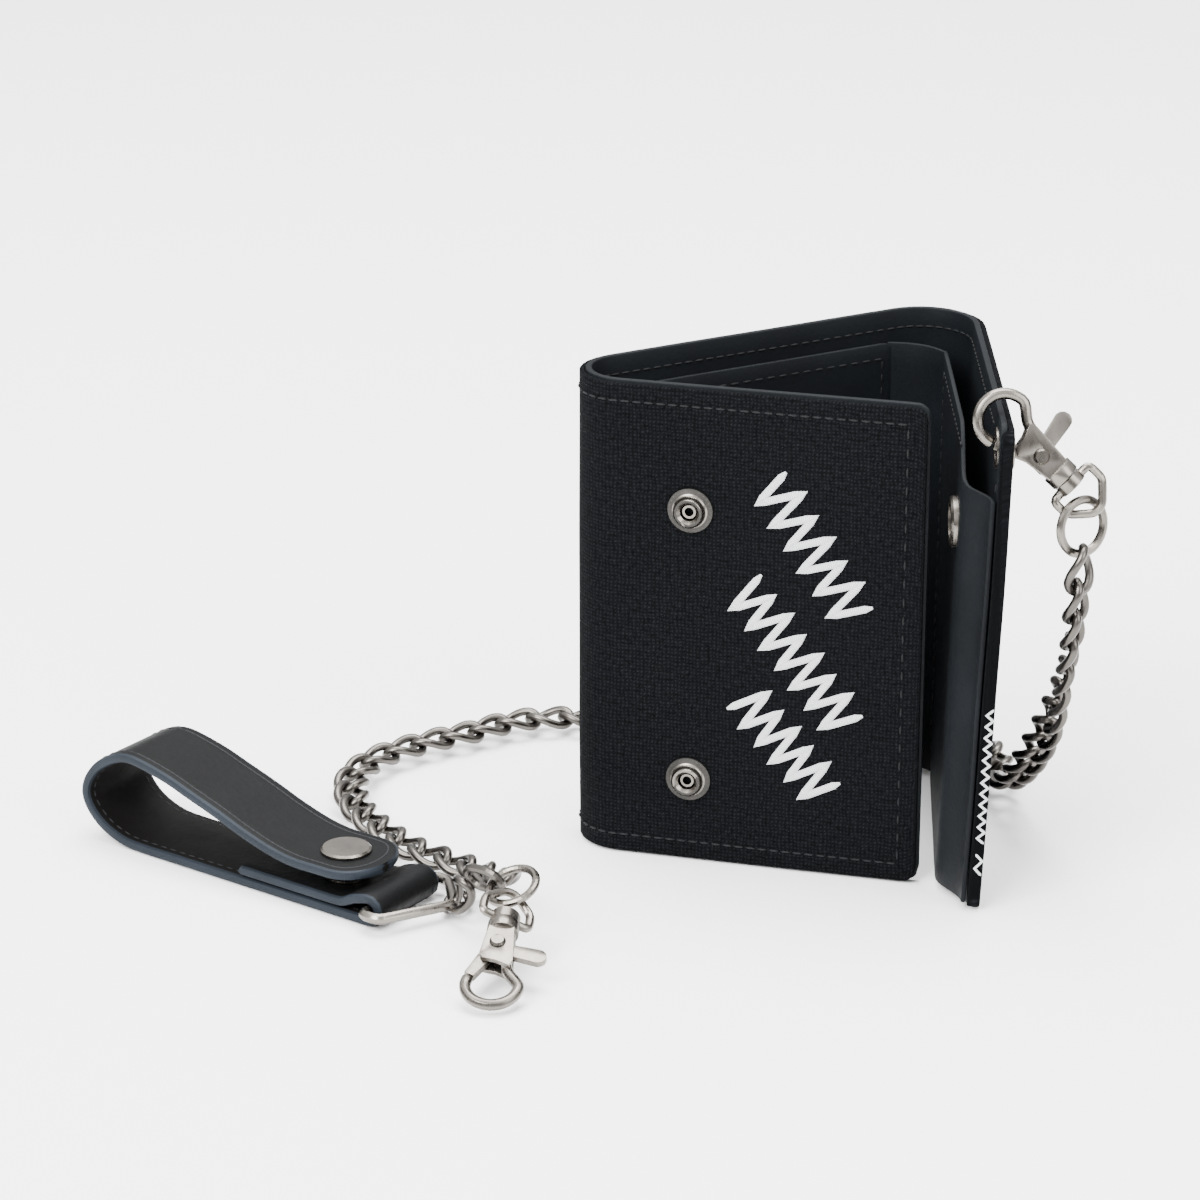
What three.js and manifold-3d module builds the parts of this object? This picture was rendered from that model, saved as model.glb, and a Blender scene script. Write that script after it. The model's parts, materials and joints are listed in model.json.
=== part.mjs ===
// A chain wallet: a trifold wallet of canvas and leather that stands on its bottom edges, a
// curb chain with two swivel clips, and a leather belt strap with a snap.
// Millimetres, +Z up. The cover panel lies along Y, with its free edge towards -Y.

import * as THREE from 'three';
import { mergeVertices } from 'three/addons/utils/BufferGeometryUtils.js';
import Module from 'manifold-3d';

const wasm = await Module();
wasm.setup();

// ---- driving dimensions -------------------------------------------------------------

const CLEARANCE = 0.3;              // gap left between pieces that touch

// wallet shell, one strip of canvas and lining that is folded twice
const WALLET_HEIGHT = 110;
const COVER_LENGTH = 73.5;          // flat part of each panel, without the folds
const BACK_LENGTH = 72.6;
const FRONT_LENGTH = 68;
const RIGHT_FOLD_RADIUS = 14;       // outer radius of the wide fold
const RIGHT_FOLD_TURN = 118;        // degrees that the strip turns there at rest
const LEFT_FOLD_RADIUS = 11;
const LEFT_FOLD_TURN = 137;
const CANVAS_THICKNESS = 1.2;
const LINING_THICKNESS = 1.3;
const RIGHT_FOLD_SLIT = 1.1;        // half the gap at each crease, so that a fold can flatten
const LEFT_FOLD_SLIT = 1.3;
const LINING_SETBACK = 0.4;         // the lining stops this far inside the canvas edge

// leather leaves inside the wallet
const LEAF_THICKNESS = 1.0;
const BILL_SLOT = 2.2;              // between the lining and the divider, behind the back panel
const DIVIDER_DROP = 6.5;           // the divider's top edge, under the shell's
const DIVIDER_FOOT = 1.5;
const DIVIDER_INSET = 4;            // from the ends of the back panel's flat part
const COVER_BULGE = 5.2;            // how far the cover's divider stands off its lining
const POCKET_COUNT = 3;
const POCKET_DROP = 20;             // first card pocket's top edge, under the shell's
const POCKET_STEP = 13;             // each further pocket is this much lower
const POCKET_INSET = 2;             // pockets are this much shorter at each end than the divider

// snaps
const SNAP_HEIGHTS = { upper: 82.3, lower: 19.6 };
const STUD_FROM_FOLD = 16.5;        // along the front panel from the end of the left fold
const SOCKET_FROM_EDGE = 20;        // along the cover from its free edge
const STUD_FLANGE_RADIUS = 5.0;
const STUD_POST_RADIUS = 3.5;
const STUD_HEIGHT = 2.6;
const STUD_BORE = 1.9;
const SHANK_RADIUS = 1.5;
const SOCKET_RADIUS = 5.6;
const SOCKET_HEIGHT = 1.9;
const SNAP_BACK_RADIUS = 5;
const SNAP_BACK_THICKNESS = 0.8;

// eyelet in the cover's top corner
const EYELET_BORE = 3.1;
const EYELET_RIM = 1.3;
const EYELET_PROUD = 0.5;
const EYELET_FROM_EDGE = 8;
const EYELET_FROM_TOP = 7;

// swivel clips
const WIRE_RADIUS = 1.25;
const HOOK_WIDTH = 13.5;            // over the wire of the hook's loop
const HOOK_REACH = 24.5;              // from the swivel's face to the end of the hook
const CLIP_BODY_LENGTH = 11;
const CLIP_BODY_WIDTH = 7.2;
const CLIP_BODY_THICKNESS = 4.6;
const CLIP_SLOT = 2.6;              // slot through the body that the gate turns in
const COLLAR_RADIUS = 3.4;
const COLLAR_LENGTH = 2.6;
const GATE_THICKNESS = 1.8;
const RIVET_RADIUS = 1.0;
const RIVET_HEAD_RADIUS = 1.7;
const STIRRUP_WIDTH = 12.5;
const STIRRUP_DEPTH = 9;
const STIRRUP_WIRE = 0.95;
const STIRRUP_POST_RADIUS = 1.3;

// rings, links and chain
const RING_1_RADIUS = 5.8;          // to the middle of the wire
const RING_1_WIRE = 0.95;
const RING_2_RADIUS = 5.3;
const RING_2_WIRE = 0.9;
const LINK_LENGTH = 11.2;
const LINK_WIDTH = 7.6;
const LINK_WIRE = 0.95;
const CHAIN_DIAMETER = 7.6;
const CHAIN_SIDES = 8;
const HANGING_POINTS = 15;          // this many points of the route make the part that hangs
const CHAIN_STEPS = { hanging: 36, lying: 32 };

// belt strap
const STRAP_WIDTH = 21;
const STRAP_THICKNESS = 2.2;
const STRAP_LENGTH = 82;            // from the triangle ring's bar to the end of the nose
const STRAP_HEIGHT = 23;            // over the loop that the belt goes through
const STRAP_FLAP_HEIGHT = 2 * STRAP_THICKNESS + 3.9;  // underside of the flap at the snap
const STRAP_TAB_LENGTH = 36;
const STRAP_TIP_FROM_BAR = 3;
const STRAP_SNAP_FROM_BAR = 14;
const STRAP_CAP_RADIUS = 5.6;
const TRIANGLE_REACH = 12;          // from the bar to the apex
const TRIANGLE_SKEW = -4.5;         // the apex is pulled this far to one side
const TRIANGLE_WIRE = 1.2;

// places on the table: the left fold is near the origin here, before the part is centred
const COVER_PLACE = new THREE.Vector2(88.1, -37.5);
const STRAP_PLACE = new THREE.Vector3(-41.5, -37, 0);
const STRAP_HEADING = 144;          // degrees, from the bar towards the nose
const CLIP_1_AXIS = new THREE.Vector3(-0.727, 0.147, 0.67);
const CLIP_1_FACE = new THREE.Vector3(0.05, -0.97, 0.24);
const CLIP_2_TIP = new THREE.Vector3(-21, -88, 1.7);
const CLIP_2_AXIS = new THREE.Vector3(-0.13, -0.94, -0.33);
const CLIP_2_FACE = new THREE.Vector3(0, 0.33, -0.94);

// route of the chain's middle, from the upper ring to the lower one, chosen by hand
const CHAIN_ROUTE = [
  [102.5, -35, 73.2],
  [102.6, -30, 62],
  [102, -23.5, 50],
  [100.9, -14, 37],
  [99.2, -3.5, 25],
  [97.2, 6, 15.5],
  [95.4, 15, 8.6],
  [94.4, 23, 4.8],
  [94.2, 31, 3.8],
  [93.4, 40, 3.8],
  [89.8, 49, 3.8],
  [83, 56.4, 3.8],
  [74, 61, 3.8],
  [62, 63.5, 3.8],
  [48, 63, 3.8],
  [34, 60.8, 3.8],
  [20, 59.6, 3.8],
  [8, 60.4, 3.8],
  [-4, 62.3, 3.8],
  [-16.7, 60.6, 3.8],
  [-29, 53, 3.8],
  [-40.5, 46, 3.8],
  [-50, 37, 3.8],
  [-54.6, 25, 3.8],
  [-53, 11, 3.8],
  [-47, -2, 3.8],
  [-39, -13, 3.8],
  [-30, -21.2, 4.2],
  [-24.4, -28, 5.4],
  [-21.2, -35.5, 7.2],
];

const STIRRUP_2_TURN = -26;         // degrees that the swivel is turned from the clip's plane
const RING_2_TURN = 135;            // degrees between the ring's axis and the stirrup's width
const SIDE_LINK_HEADING = new THREE.Vector3(-0.7, 0.7, -0.3);

// ---- colours and finishes -----------------------------------------------------------

const canvasFinish = new THREE.MeshStandardMaterial({ color: 0x1c1d20, roughness: 0.95 });
const leatherFinish = new THREE.MeshStandardMaterial({ color: 0x26292d, roughness: 0.55 });
const strapFinish = new THREE.MeshStandardMaterial({ color: 0x17181a, roughness: 0.5 });
const metalFinish = new THREE.MeshStandardMaterial({ color: 0xb8b2aa, roughness: 0.3, metalness: 1 });
const chainFinish = new THREE.MeshStandardMaterial({ color: 0x7a736b, roughness: 0.35, metalness: 1 });

// ---- helpers ------------------------------------------------------------------------

const radians = THREE.MathUtils.degToRad;

function toSolid(geometry) {
  const plain = geometry.clone();
  plain.deleteAttribute('normal');
  plain.deleteAttribute('uv');
  const merged = mergeVertices(plain, 1e-4);
  const vertProperties = new Float32Array(merged.attributes.position.array);
  const triVerts = new Uint32Array(merged.index.array);
  return new wasm.Manifold(new wasm.Mesh({ numProp: 3, vertProperties, triVerts }));
}

function toGeometry(solid) {
  const mesh = solid.getMesh();
  const geometry = new THREE.BufferGeometry();
  geometry.setAttribute('position', new THREE.BufferAttribute(mesh.vertProperties, 3));
  geometry.setIndex(new THREE.BufferAttribute(mesh.triVerts, 1));
  geometry.computeVertexNormals();
  return geometry;
}

function join(...geometries) {
  return toGeometry(geometries.map(toSolid).reduce((whole, piece) => whole.add(piece)));
}

function cut(geometry, ...tools) {
  return toGeometry(tools.map(toSolid).reduce((whole, tool) => whole.subtract(tool), toSolid(geometry)));
}

// a frame whose Z is the given direction, placed at a point
function facing(point, direction) {
  const turn = new THREE.Quaternion();
  turn.setFromUnitVectors(new THREE.Vector3(0, 0, 1), direction.clone().normalize());
  return new THREE.Matrix4().compose(point, turn, new THREE.Vector3(1, 1, 1));
}

// a frame with X along an axis and Z as near to a face direction as it can be
function alongAxis(point, axis, face) {
  const x = axis.clone().normalize();
  const z = face.clone().addScaledVector(x, -face.dot(x)).normalize();
  const y = new THREE.Vector3().crossVectors(z, x);
  return new THREE.Matrix4().makeBasis(x, y, z).setPosition(point);
}

// a solid of revolution about Z from [radius, height] pairs that start and end on the axis
function turned(profile, segments = 28) {
  const outline = profile.map(([radius, height]) => new THREE.Vector2(radius, height));
  return new THREE.LatheGeometry(outline, segments).rotateX(Math.PI / 2);
}

function disc(radius, from, to, segments = 28) {
  return turned([[0, from], [radius, from], [radius, to], [0, to]], segments);
}

// a ring of revolution with a hole, as a closed loop of [radius, height] pairs
function collar(inner, outer, from, to, segments = 28) {
  return turned([[inner, from], [outer, from], [outer, to], [inner, to], [inner, from]], segments);
}

function prism(points, from, to) {
  const shape = new THREE.Shape(points.map(([x, y]) => new THREE.Vector2(x, y)));
  const geometry = new THREE.ExtrudeGeometry(shape, { depth: to - from, bevelEnabled: false });
  return geometry.translate(0, 0, from);
}

// an open wire with flat ends along a curve
function wire(curve, radius, sides, steps) {
  const section = new THREE.Shape();
  for (let side = 0; side < sides; side += 1) {
    const angle = (2 * Math.PI * side) / sides;
    const point = [radius * Math.cos(angle), radius * Math.sin(angle)];
    if (side === 0) section.moveTo(...point);
    else section.lineTo(...point);
  }
  return new THREE.ExtrudeGeometry(section, { steps, bevelEnabled: false, extrudePath: curve });
}

// a closed wire: the two lids are left off, and the last ring of points is put on the first one
function wireLoop(points, radius, sides = 10, steps = 48) {
  const curve = new THREE.CatmullRomCurve3(points, true, 'centripetal');
  const tube = wire(curve, radius, sides, steps);
  const skin = tube.groups[1];
  const all = tube.getAttribute('position').array;
  const positions = all.slice(skin.start * 3, (skin.start + skin.count) * 3);
  const seen = [];
  for (let start = 0; start < positions.length; start += 3) {
    const point = new THREE.Vector3().fromArray(positions, start);
    const twin = seen.find((other) => other.distanceTo(point) < 0.02);
    if (twin) twin.toArray(positions, start);
    else seen.push(point);
  }
  const loop = new THREE.BufferGeometry();
  loop.setAttribute('position', new THREE.BufferAttribute(positions, 3));
  return withNormals(mergeVertices(loop, 1e-4));
}

function withNormals(geometry) {
  geometry.computeVertexNormals();
  return geometry;
}

// points of a closed outline whose corners are rounded off
function roundedOutline(corners, radius, stepsPerCorner = 4) {
  const points = [];
  corners.forEach((corner, index) => {
    const before = corners[(index + corners.length - 1) % corners.length];
    const after = corners[(index + 1) % corners.length];
    const from = before.clone().sub(corner).setLength(radius).add(corner);
    const to = after.clone().sub(corner).setLength(radius).add(corner);
    const bend = new THREE.QuadraticBezierCurve3(from, corner, to);
    points.push(...bend.getPoints(stepsPerCorner));
  });
  return points;
}

// ---- the wallet's folded strip in plan ----------------------------------------------

const STRIP = [
  { name: 'cover', length: COVER_LENGTH, turn: 0 },
  { name: 'right_fold', length: RIGHT_FOLD_RADIUS * radians(RIGHT_FOLD_TURN), turn: RIGHT_FOLD_TURN },
  { name: 'back', length: BACK_LENGTH, turn: 0 },
  { name: 'left_fold', length: LEFT_FOLD_RADIUS * radians(LEFT_FOLD_TURN), turn: LEFT_FOLD_TURN },
  { name: 'front', length: FRONT_LENGTH, turn: 0 },
];

const stripStart = {};
let runningLength = 0;
for (const stretch of STRIP) {
  stripStart[stretch.name] = runningLength;
  runningLength += stretch.length;
}
const STRIP_LENGTH = runningLength;

// the outer face's point and heading at a distance from the cover's free edge
function stripAt(distance) {
  let position = COVER_PLACE.clone();
  let heading = Math.PI / 2;
  let left = distance;
  for (const stretch of STRIP) {
    const run = Math.min(left, stretch.length);
    const turn = radians(stretch.turn) * (run / stretch.length);
    if (stretch.turn === 0) {
      const forward = new THREE.Vector2(Math.cos(heading), Math.sin(heading));
      position = position.clone().add(forward.multiplyScalar(run));
    } else {
      const radius = stretch.length / radians(stretch.turn);
      const inward = new THREE.Vector2(-Math.sin(heading), Math.cos(heading));
      const centre = position.clone().add(inward.multiplyScalar(radius));
      position = position.clone().rotateAround(centre, turn);
    }
    heading += turn;
    left -= run;
    if (left <= 0) break;
  }
  return { position, heading };
}

// a point of the strip: distance along it, and depth in from the outer face
function stripPoint(distance, depth) {
  const { position, heading } = stripAt(distance);
  return [position.x - depth * Math.sin(heading), position.y + depth * Math.cos(heading)];
}

// the outward direction of the strip's outer face
function stripNormal(distance) {
  const { heading } = stripAt(distance);
  return new THREE.Vector3(Math.sin(heading), -Math.cos(heading), 0);
}

function stripSolid(from, to, outer, inner, low, high, steps) {
  const distances = Array.from({ length: steps + 1 }, (_, step) => from + ((to - from) * step) / steps);
  const outerSide = distances.map((distance) => stripPoint(distance, outer));
  const innerSide = distances.map((distance) => stripPoint(distance, inner)).reverse();
  return prism([...outerSide, ...innerSide], low, high);
}

// where each crease turns: a quarter of the way in from each end of a fold
const CREASES = {
  cover: stripStart.right_fold + 0.25 * STRIP[1].length,
  back: stripStart.right_fold + 0.75 * STRIP[1].length,
  left: stripStart.left_fold + 0.25 * STRIP[3].length,
  front: stripStart.left_fold + 0.75 * STRIP[3].length,
};

const PANELS = {
  cover: [0, CREASES.cover - RIGHT_FOLD_SLIT],
  right_fold: [CREASES.cover + RIGHT_FOLD_SLIT, CREASES.back - RIGHT_FOLD_SLIT],
  back: [CREASES.back + RIGHT_FOLD_SLIT, CREASES.left - LEFT_FOLD_SLIT],
  left_fold: [CREASES.left + LEFT_FOLD_SLIT, CREASES.front - LEFT_FOLD_SLIT],
  front: [CREASES.front + LEFT_FOLD_SLIT, STRIP_LENGTH],
};

const LINING_DEPTH = CANVAS_THICKNESS + CLEARANCE;
const SHELL_THICKNESS = LINING_DEPTH + LINING_THICKNESS;
const STUD_AT = stripStart.front + STUD_FROM_FOLD;
const EYELET_HEIGHT = WALLET_HEIGHT - EYELET_FROM_TOP;

function panelSteps(name) {
  return name === 'left_fold' || name === 'right_fold' ? 10 : 24;
}

function throughHole(distance, height, radius) {
  const [x, y] = stripPoint(distance, 0);
  const place = facing(new THREE.Vector3(x, y, height), stripNormal(distance));
  return disc(radius, -4 * SHELL_THICKNESS, 4 * SHELL_THICKNESS).applyMatrix4(place);
}

function withPanelHoles(geometry, name) {
  if (name === 'cover') {
    return cut(geometry, throughHole(EYELET_FROM_EDGE, EYELET_HEIGHT, EYELET_BORE + CLEARANCE));
  }
  if (name === 'front') {
    const holes = Object.values(SNAP_HEIGHTS).map((height) => throughHole(STUD_AT, height, STUD_BORE));
    return cut(geometry, ...holes);
  }
  return geometry;
}

function canvasPanel(name) {
  const [from, to] = PANELS[name];
  const panel = stripSolid(from, to, 0, CANVAS_THICKNESS, 0, WALLET_HEIGHT, panelSteps(name));
  return withPanelHoles(panel, name);
}

function liningPanel(name) {
  const [from, to] = PANELS[name];
  const start = name === 'cover' ? from + LINING_SETBACK : from;
  const end = name === 'front' ? to - LINING_SETBACK : to;
  const top = WALLET_HEIGHT - LINING_SETBACK;
  const panel = stripSolid(start, end, LINING_DEPTH, SHELL_THICKNESS, LINING_SETBACK, top, panelSteps(name));
  return withPanelHoles(panel, name);
}

// ---- leaves inside the wallet -------------------------------------------------------

const DIVIDER_TOP = WALLET_HEIGHT - DIVIDER_DROP;
const DIVIDER_DEPTH = SHELL_THICKNESS + BILL_SLOT;

function backDivider() {
  const from = stripStart.back + DIVIDER_INSET - 1;
  const to = stripStart.left_fold - DIVIDER_INSET;
  return stripSolid(from, to, DIVIDER_DEPTH, DIVIDER_DEPTH + LEAF_THICKNESS, DIVIDER_FOOT, DIVIDER_TOP, 1);
}

function cardPocket(index) {
  const depth = DIVIDER_DEPTH + (LEAF_THICKNESS + CLEARANCE) * (index + 1);
  const from = stripStart.back + DIVIDER_INSET + POCKET_INSET;
  const to = stripStart.left_fold - DIVIDER_INSET - POCKET_INSET;
  const top = WALLET_HEIGHT - POCKET_DROP - POCKET_STEP * index;
  return stripSolid(from, to, depth, depth + LEAF_THICKNESS, DIVIDER_FOOT + CLEARANCE, top, 1);
}

// how far the cover's divider stands in from the outer face, along the cover
function coverDividerDepth(distance) {
  const rise = THREE.MathUtils.smoothstep(distance, 1.5, 14);
  return SHELL_THICKNESS + CLEARANCE + COVER_BULGE * rise;
}

const COVER_DIVIDER_END = COVER_LENGTH - 1;

function coverDivider() {
  const steps = 24;
  const share = (COVER_DIVIDER_END - 1) / steps;
  const distances = Array.from({ length: steps + 1 }, (_, step) => 1 + share * step);
  const outerSide = distances.map((distance) => stripPoint(distance, coverDividerDepth(distance)));
  const innerSide = distances.map((distance) => stripPoint(distance, coverDividerDepth(distance) + LEAF_THICKNESS));
  const leaf = prism([...outerSide, ...innerSide.reverse()], DIVIDER_FOOT, DIVIDER_TOP);
  const scoop = throughHole(EYELET_FROM_EDGE, EYELET_HEIGHT, EYELET_BORE + EYELET_RIM + 2.5);
  const holes = Object.values(SNAP_HEIGHTS).map((height) => throughHole(SOCKET_FROM_EDGE, height, STUD_BORE));
  return cut(leaf, scoop, ...holes);
}

// the short leaf that carries the divider round the wide fold
function foldDivider() {
  const [startX, startY] = stripPoint(COVER_DIVIDER_END, coverDividerDepth(COVER_DIVIDER_END));
  const [endX, endY] = stripPoint(stripStart.back + DIVIDER_INSET - 1, DIVIDER_DEPTH);
  const start = new THREE.Vector2(startX, startY);
  const end = new THREE.Vector2(endX, endY);
  const along = end.clone().sub(start).normalize();
  const inward = new THREE.Vector2(-along.y, along.x).multiplyScalar(LEAF_THICKNESS);
  start.addScaledVector(along, 2.2);
  end.addScaledVector(along, -2.2);
  const corners = [start, end, end.clone().add(inward), start.clone().add(inward)];
  return prism(corners.map((corner) => [corner.x, corner.y]), DIVIDER_FOOT, DIVIDER_TOP);
}

// ---- snaps and eyelet ---------------------------------------------------------------

function stud() {
  return turned([
    [STUD_BORE, 0],
    [STUD_FLANGE_RADIUS, 0],
    [STUD_FLANGE_RADIUS, 0.5],
    [STUD_POST_RADIUS + 0.4, 0.8],
    [STUD_POST_RADIUS - 0.3, 1.3],
    [STUD_POST_RADIUS, STUD_HEIGHT - 0.6],
    [STUD_POST_RADIUS - 0.5, STUD_HEIGHT],
    [STUD_BORE + 0.6, STUD_HEIGHT],
    [STUD_BORE, STUD_HEIGHT - 0.7],
    [STUD_BORE, 0],
  ]);
}

// the disc behind a snap, with the hollow shank that rivets it through the leather
function snapBack(discRadius, shankLength) {
  return turned([
    [0, -SNAP_BACK_THICKNESS],
    [discRadius - 0.5, -SNAP_BACK_THICKNESS],
    [discRadius, -0.4],
    [discRadius, 0],
    [SHANK_RADIUS, 0],
    [SHANK_RADIUS, shankLength],
    [SHANK_RADIUS - 0.5, shankLength],
    [SHANK_RADIUS - 0.5, shankLength - 1.4],
    [0, shankLength - 1.4],
  ]);
}

function socket(radius) {
  const mouth = STUD_POST_RADIUS + CLEARANCE;
  return turned([
    [STUD_BORE, 0],
    [radius, 0],
    [radius, SOCKET_HEIGHT - 0.5],
    [radius - 0.5, SOCKET_HEIGHT],
    [mouth, SOCKET_HEIGHT],
    [mouth, 0.6],
    [STUD_BORE, 0.6],
    [STUD_BORE, 0],
  ]);
}

// a flanged barrel that lines a hole: the flange lies on the outer face, the barrel goes in
function eyeletBarrel() {
  const depth = SHELL_THICKNESS - 0.2;
  return turned([
    [EYELET_BORE - 0.4, EYELET_PROUD],
    [EYELET_BORE - 0.4, -depth],
    [EYELET_BORE, -depth],
    [EYELET_BORE, CLEARANCE / 3],
    [EYELET_BORE + EYELET_RIM, CLEARANCE / 3],
    [EYELET_BORE + EYELET_RIM, EYELET_PROUD - 0.1],
    [EYELET_BORE + EYELET_RIM - 0.3, EYELET_PROUD],
    [EYELET_BORE - 0.4, EYELET_PROUD],
  ]);
}

function eyeletWasher() {
  const inner = EYELET_BORE - 0.4;
  return collar(inner, EYELET_BORE + EYELET_RIM, CLEARANCE / 3, EYELET_PROUD);
}

// ---- swivel clip, in its own frame --------------------------------------------------
// X runs from the swivel to the hook's end, the gate closes the +Y side, Z is its thickness.

const LOOP_RADIUS = HOOK_WIDTH / 2 - WIRE_RADIUS;
const LOOP_CENTRE = HOOK_REACH - HOOK_WIDTH / 2;
const BODY_END = COLLAR_LENGTH + CLIP_BODY_LENGTH;
const PIVOT = new THREE.Vector2(COLLAR_LENGTH + 4.4, 0.3);
const NOSE_ANGLE = 105;             // where the hook's nose ends, round the loop from its tip
const GATE_TIP_GAP = 0.65;

function hookWire() {
  const points = [new THREE.Vector3(BODY_END - 2.5, -CLIP_BODY_WIDTH / 2 + WIRE_RADIUS, 0)];
  points.push(new THREE.Vector3(BODY_END, -CLIP_BODY_WIDTH / 2 + WIRE_RADIUS - 0.5, 0));
  for (let angle = -95; angle <= NOSE_ANGLE; angle += 20) {
    const x = LOOP_CENTRE + LOOP_RADIUS * Math.cos(radians(angle));
    points.push(new THREE.Vector3(x, LOOP_RADIUS * Math.sin(radians(angle)), 0));
  }
  return wire(new THREE.CatmullRomCurve3(points, false, 'centripetal'), WIRE_RADIUS, 10, 30);
}

function clipBody() {
  const half = CLIP_BODY_WIDTH / 2;
  const neck = COLLAR_RADIUS - 0.6;
  const outline = [
    [COLLAR_LENGTH - 0.3, -neck],
    [BODY_END - 1.5, -half],
    [BODY_END, -half + 0.6],
    [BODY_END - 1.2, 0],
    [BODY_END - 1.6, half - 0.8],
    [BODY_END - 3, half],
    [COLLAR_LENGTH - 0.3, neck],
  ];
  const block = prism(outline, -CLIP_BODY_THICKNESS / 2, CLIP_BODY_THICKNESS / 2);
  const collarPiece = disc(COLLAR_RADIUS, 0, COLLAR_LENGTH, 24).rotateY(Math.PI / 2);
  const slot = new THREE.BoxGeometry(CLIP_BODY_LENGTH, 2 * CLIP_BODY_WIDTH, CLIP_SLOT);
  slot.translate(COLLAR_LENGTH + 1.4 + CLIP_BODY_LENGTH / 2, 0, 0);
  const pivotHole = disc(RIVET_RADIUS + CLEARANCE, -CLIP_BODY_THICKNESS, CLIP_BODY_THICKNESS, 16);
  pivotHole.translate(PIVOT.x, PIVOT.y, 0);
  const swivelHole = disc(STIRRUP_POST_RADIUS + CLEARANCE, -1, COLLAR_LENGTH + 1.4, 20).rotateY(Math.PI / 2);
  const slotted = cut(block, slot);
  return cut(join(slotted, collarPiece, hookRoot(), hookWire()), pivotHole, swivelHole);
}

// the solid root that the hook grows from, on the side away from the gate
function hookRoot() {
  const half = CLIP_BODY_WIDTH / 2;
  const outline = [[BODY_END - 3.4, -half + 0.25], [BODY_END - 0.4, -half + 0.1], [BODY_END - 0.4, -half + 2.2]];
  outline.push([BODY_END - 3.4, -half + 1.4]);
  return prism(outline, -CLIP_BODY_THICKNESS / 2 + 0.2, CLIP_BODY_THICKNESS / 2 - 0.2);
}

function gateEnd() {
  const angle = radians(NOSE_ANGLE);
  return new THREE.Vector2(LOOP_CENTRE + LOOP_RADIUS * Math.cos(angle), LOOP_RADIUS * Math.sin(angle));
}

// gate and thumb lever in one piece, turning on the rivet
function gate() {
  const tip = gateEnd();
  const heel = new THREE.Vector2(PIVOT.x + 1.5, CLIP_BODY_WIDTH / 2 - 1.6);
  const along = tip.clone().sub(heel).normalize();
  const across = new THREE.Vector2(-along.y, along.x);
  const half = 1.1;
  tip.addScaledVector(along, -GATE_TIP_GAP);
  const corner = (base, offset) => [base.x + across.x * offset, base.y + across.y * offset];
  const bar = [corner(heel, half + 0.3), corner(heel, -half - 0.6), corner(tip, -half), corner(tip, half)];
  const low = -GATE_THICKNESS / 2;
  const high = GATE_THICKNESS / 2;
  const hub = disc(2.3, low, high, 20).translate(PIVOT.x, PIVOT.y, 0);
  const lever = prism(leverOutline(), low + 0.2, high - 0.2);
  const bore = disc(RIVET_RADIUS + CLEARANCE, -3, 3, 16).translate(PIVOT.x, PIVOT.y, 0);
  return cut(join(prism(bar.reverse(), low, high), hub, lever), bore);
}

function leverOutline() {
  const reach = 8.6;
  const half = 1.9;
  const points = [[PIVOT.x - 1.2, PIVOT.y]];
  for (let angle = 180; angle <= 360; angle += 30) {
    const x = PIVOT.x + 1.7 + half * Math.cos(radians(angle));
    points.push([x, -reach + half * Math.sin(radians(angle)) + PIVOT.y]);
  }
  points.push([PIVOT.x + 1.8, PIVOT.y]);
  return points;
}

function rivet() {
  const half = CLIP_BODY_THICKNESS / 2;
  return turned([
    [0, -half - 0.7],
    [RIVET_HEAD_RADIUS - 0.4, -half - 0.7],
    [RIVET_HEAD_RADIUS, -half - CLEARANCE / 2],
    [RIVET_RADIUS, -half - CLEARANCE / 2],
    [RIVET_RADIUS, half + CLEARANCE / 2],
    [RIVET_HEAD_RADIUS, half + CLEARANCE / 2],
    [RIVET_HEAD_RADIUS - 0.4, half + 0.7],
    [0, half + 0.7],
  ], 20).translate(PIVOT.x, PIVOT.y, 0);
}

// the bent leaf in the slot that pushes the gate shut
function gateSpring() {
  const centre = new THREE.Vector2(PIVOT.x - 2.4, PIVOT.y + 2.6);
  const outline = [[-0.3, -1.7], [0.1, -1.7], [0.5, 0.1], [2.2, 0.3], [2.2, 0.6], [0.1, 0.6]];
  const shifted = outline.map(([x, y]) => [x + centre.x - 0.4, y + centre.y - 0.3]);
  return prism(shifted, -GATE_THICKNESS / 2 + 0.3, GATE_THICKNESS / 2 - 0.3);
}

// the swivel stirrup: a D of wire behind the collar, with its post in the collar's bore
function stirrup() {
  const gap = CLEARANCE + STIRRUP_WIRE + 0.4;
  const half = STIRRUP_WIDTH / 2 - STIRRUP_WIRE;
  const corners = [
    new THREE.Vector3(-gap, -half, 0),
    new THREE.Vector3(-gap, half, 0),
    new THREE.Vector3(-gap - STIRRUP_DEPTH * 0.45, half, 0),
    new THREE.Vector3(-gap - STIRRUP_DEPTH + STIRRUP_WIRE, 1.2, 0),
    new THREE.Vector3(-gap - STIRRUP_DEPTH + STIRRUP_WIRE, -1.2, 0),
    new THREE.Vector3(-gap - STIRRUP_DEPTH * 0.45, -half, 0),
  ];
  const frame = wireLoop(roundedOutline(corners, 1.1, 3), STIRRUP_WIRE, 10, 56);
  const seat = disc(COLLAR_RADIUS - 0.3, -gap - STIRRUP_WIRE, -CLEARANCE, 20).rotateY(Math.PI / 2);
  const post = disc(STIRRUP_POST_RADIUS, -gap, COLLAR_LENGTH + 0.6, 20).rotateY(Math.PI / 2);
  const head = disc(STIRRUP_POST_RADIUS, COLLAR_LENGTH + 0.4, COLLAR_LENGTH + 1.1, 20).rotateY(Math.PI / 2);
  return join(frame, seat, post, head);
}

// ---- links --------------------------------------------------------------------------

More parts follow.
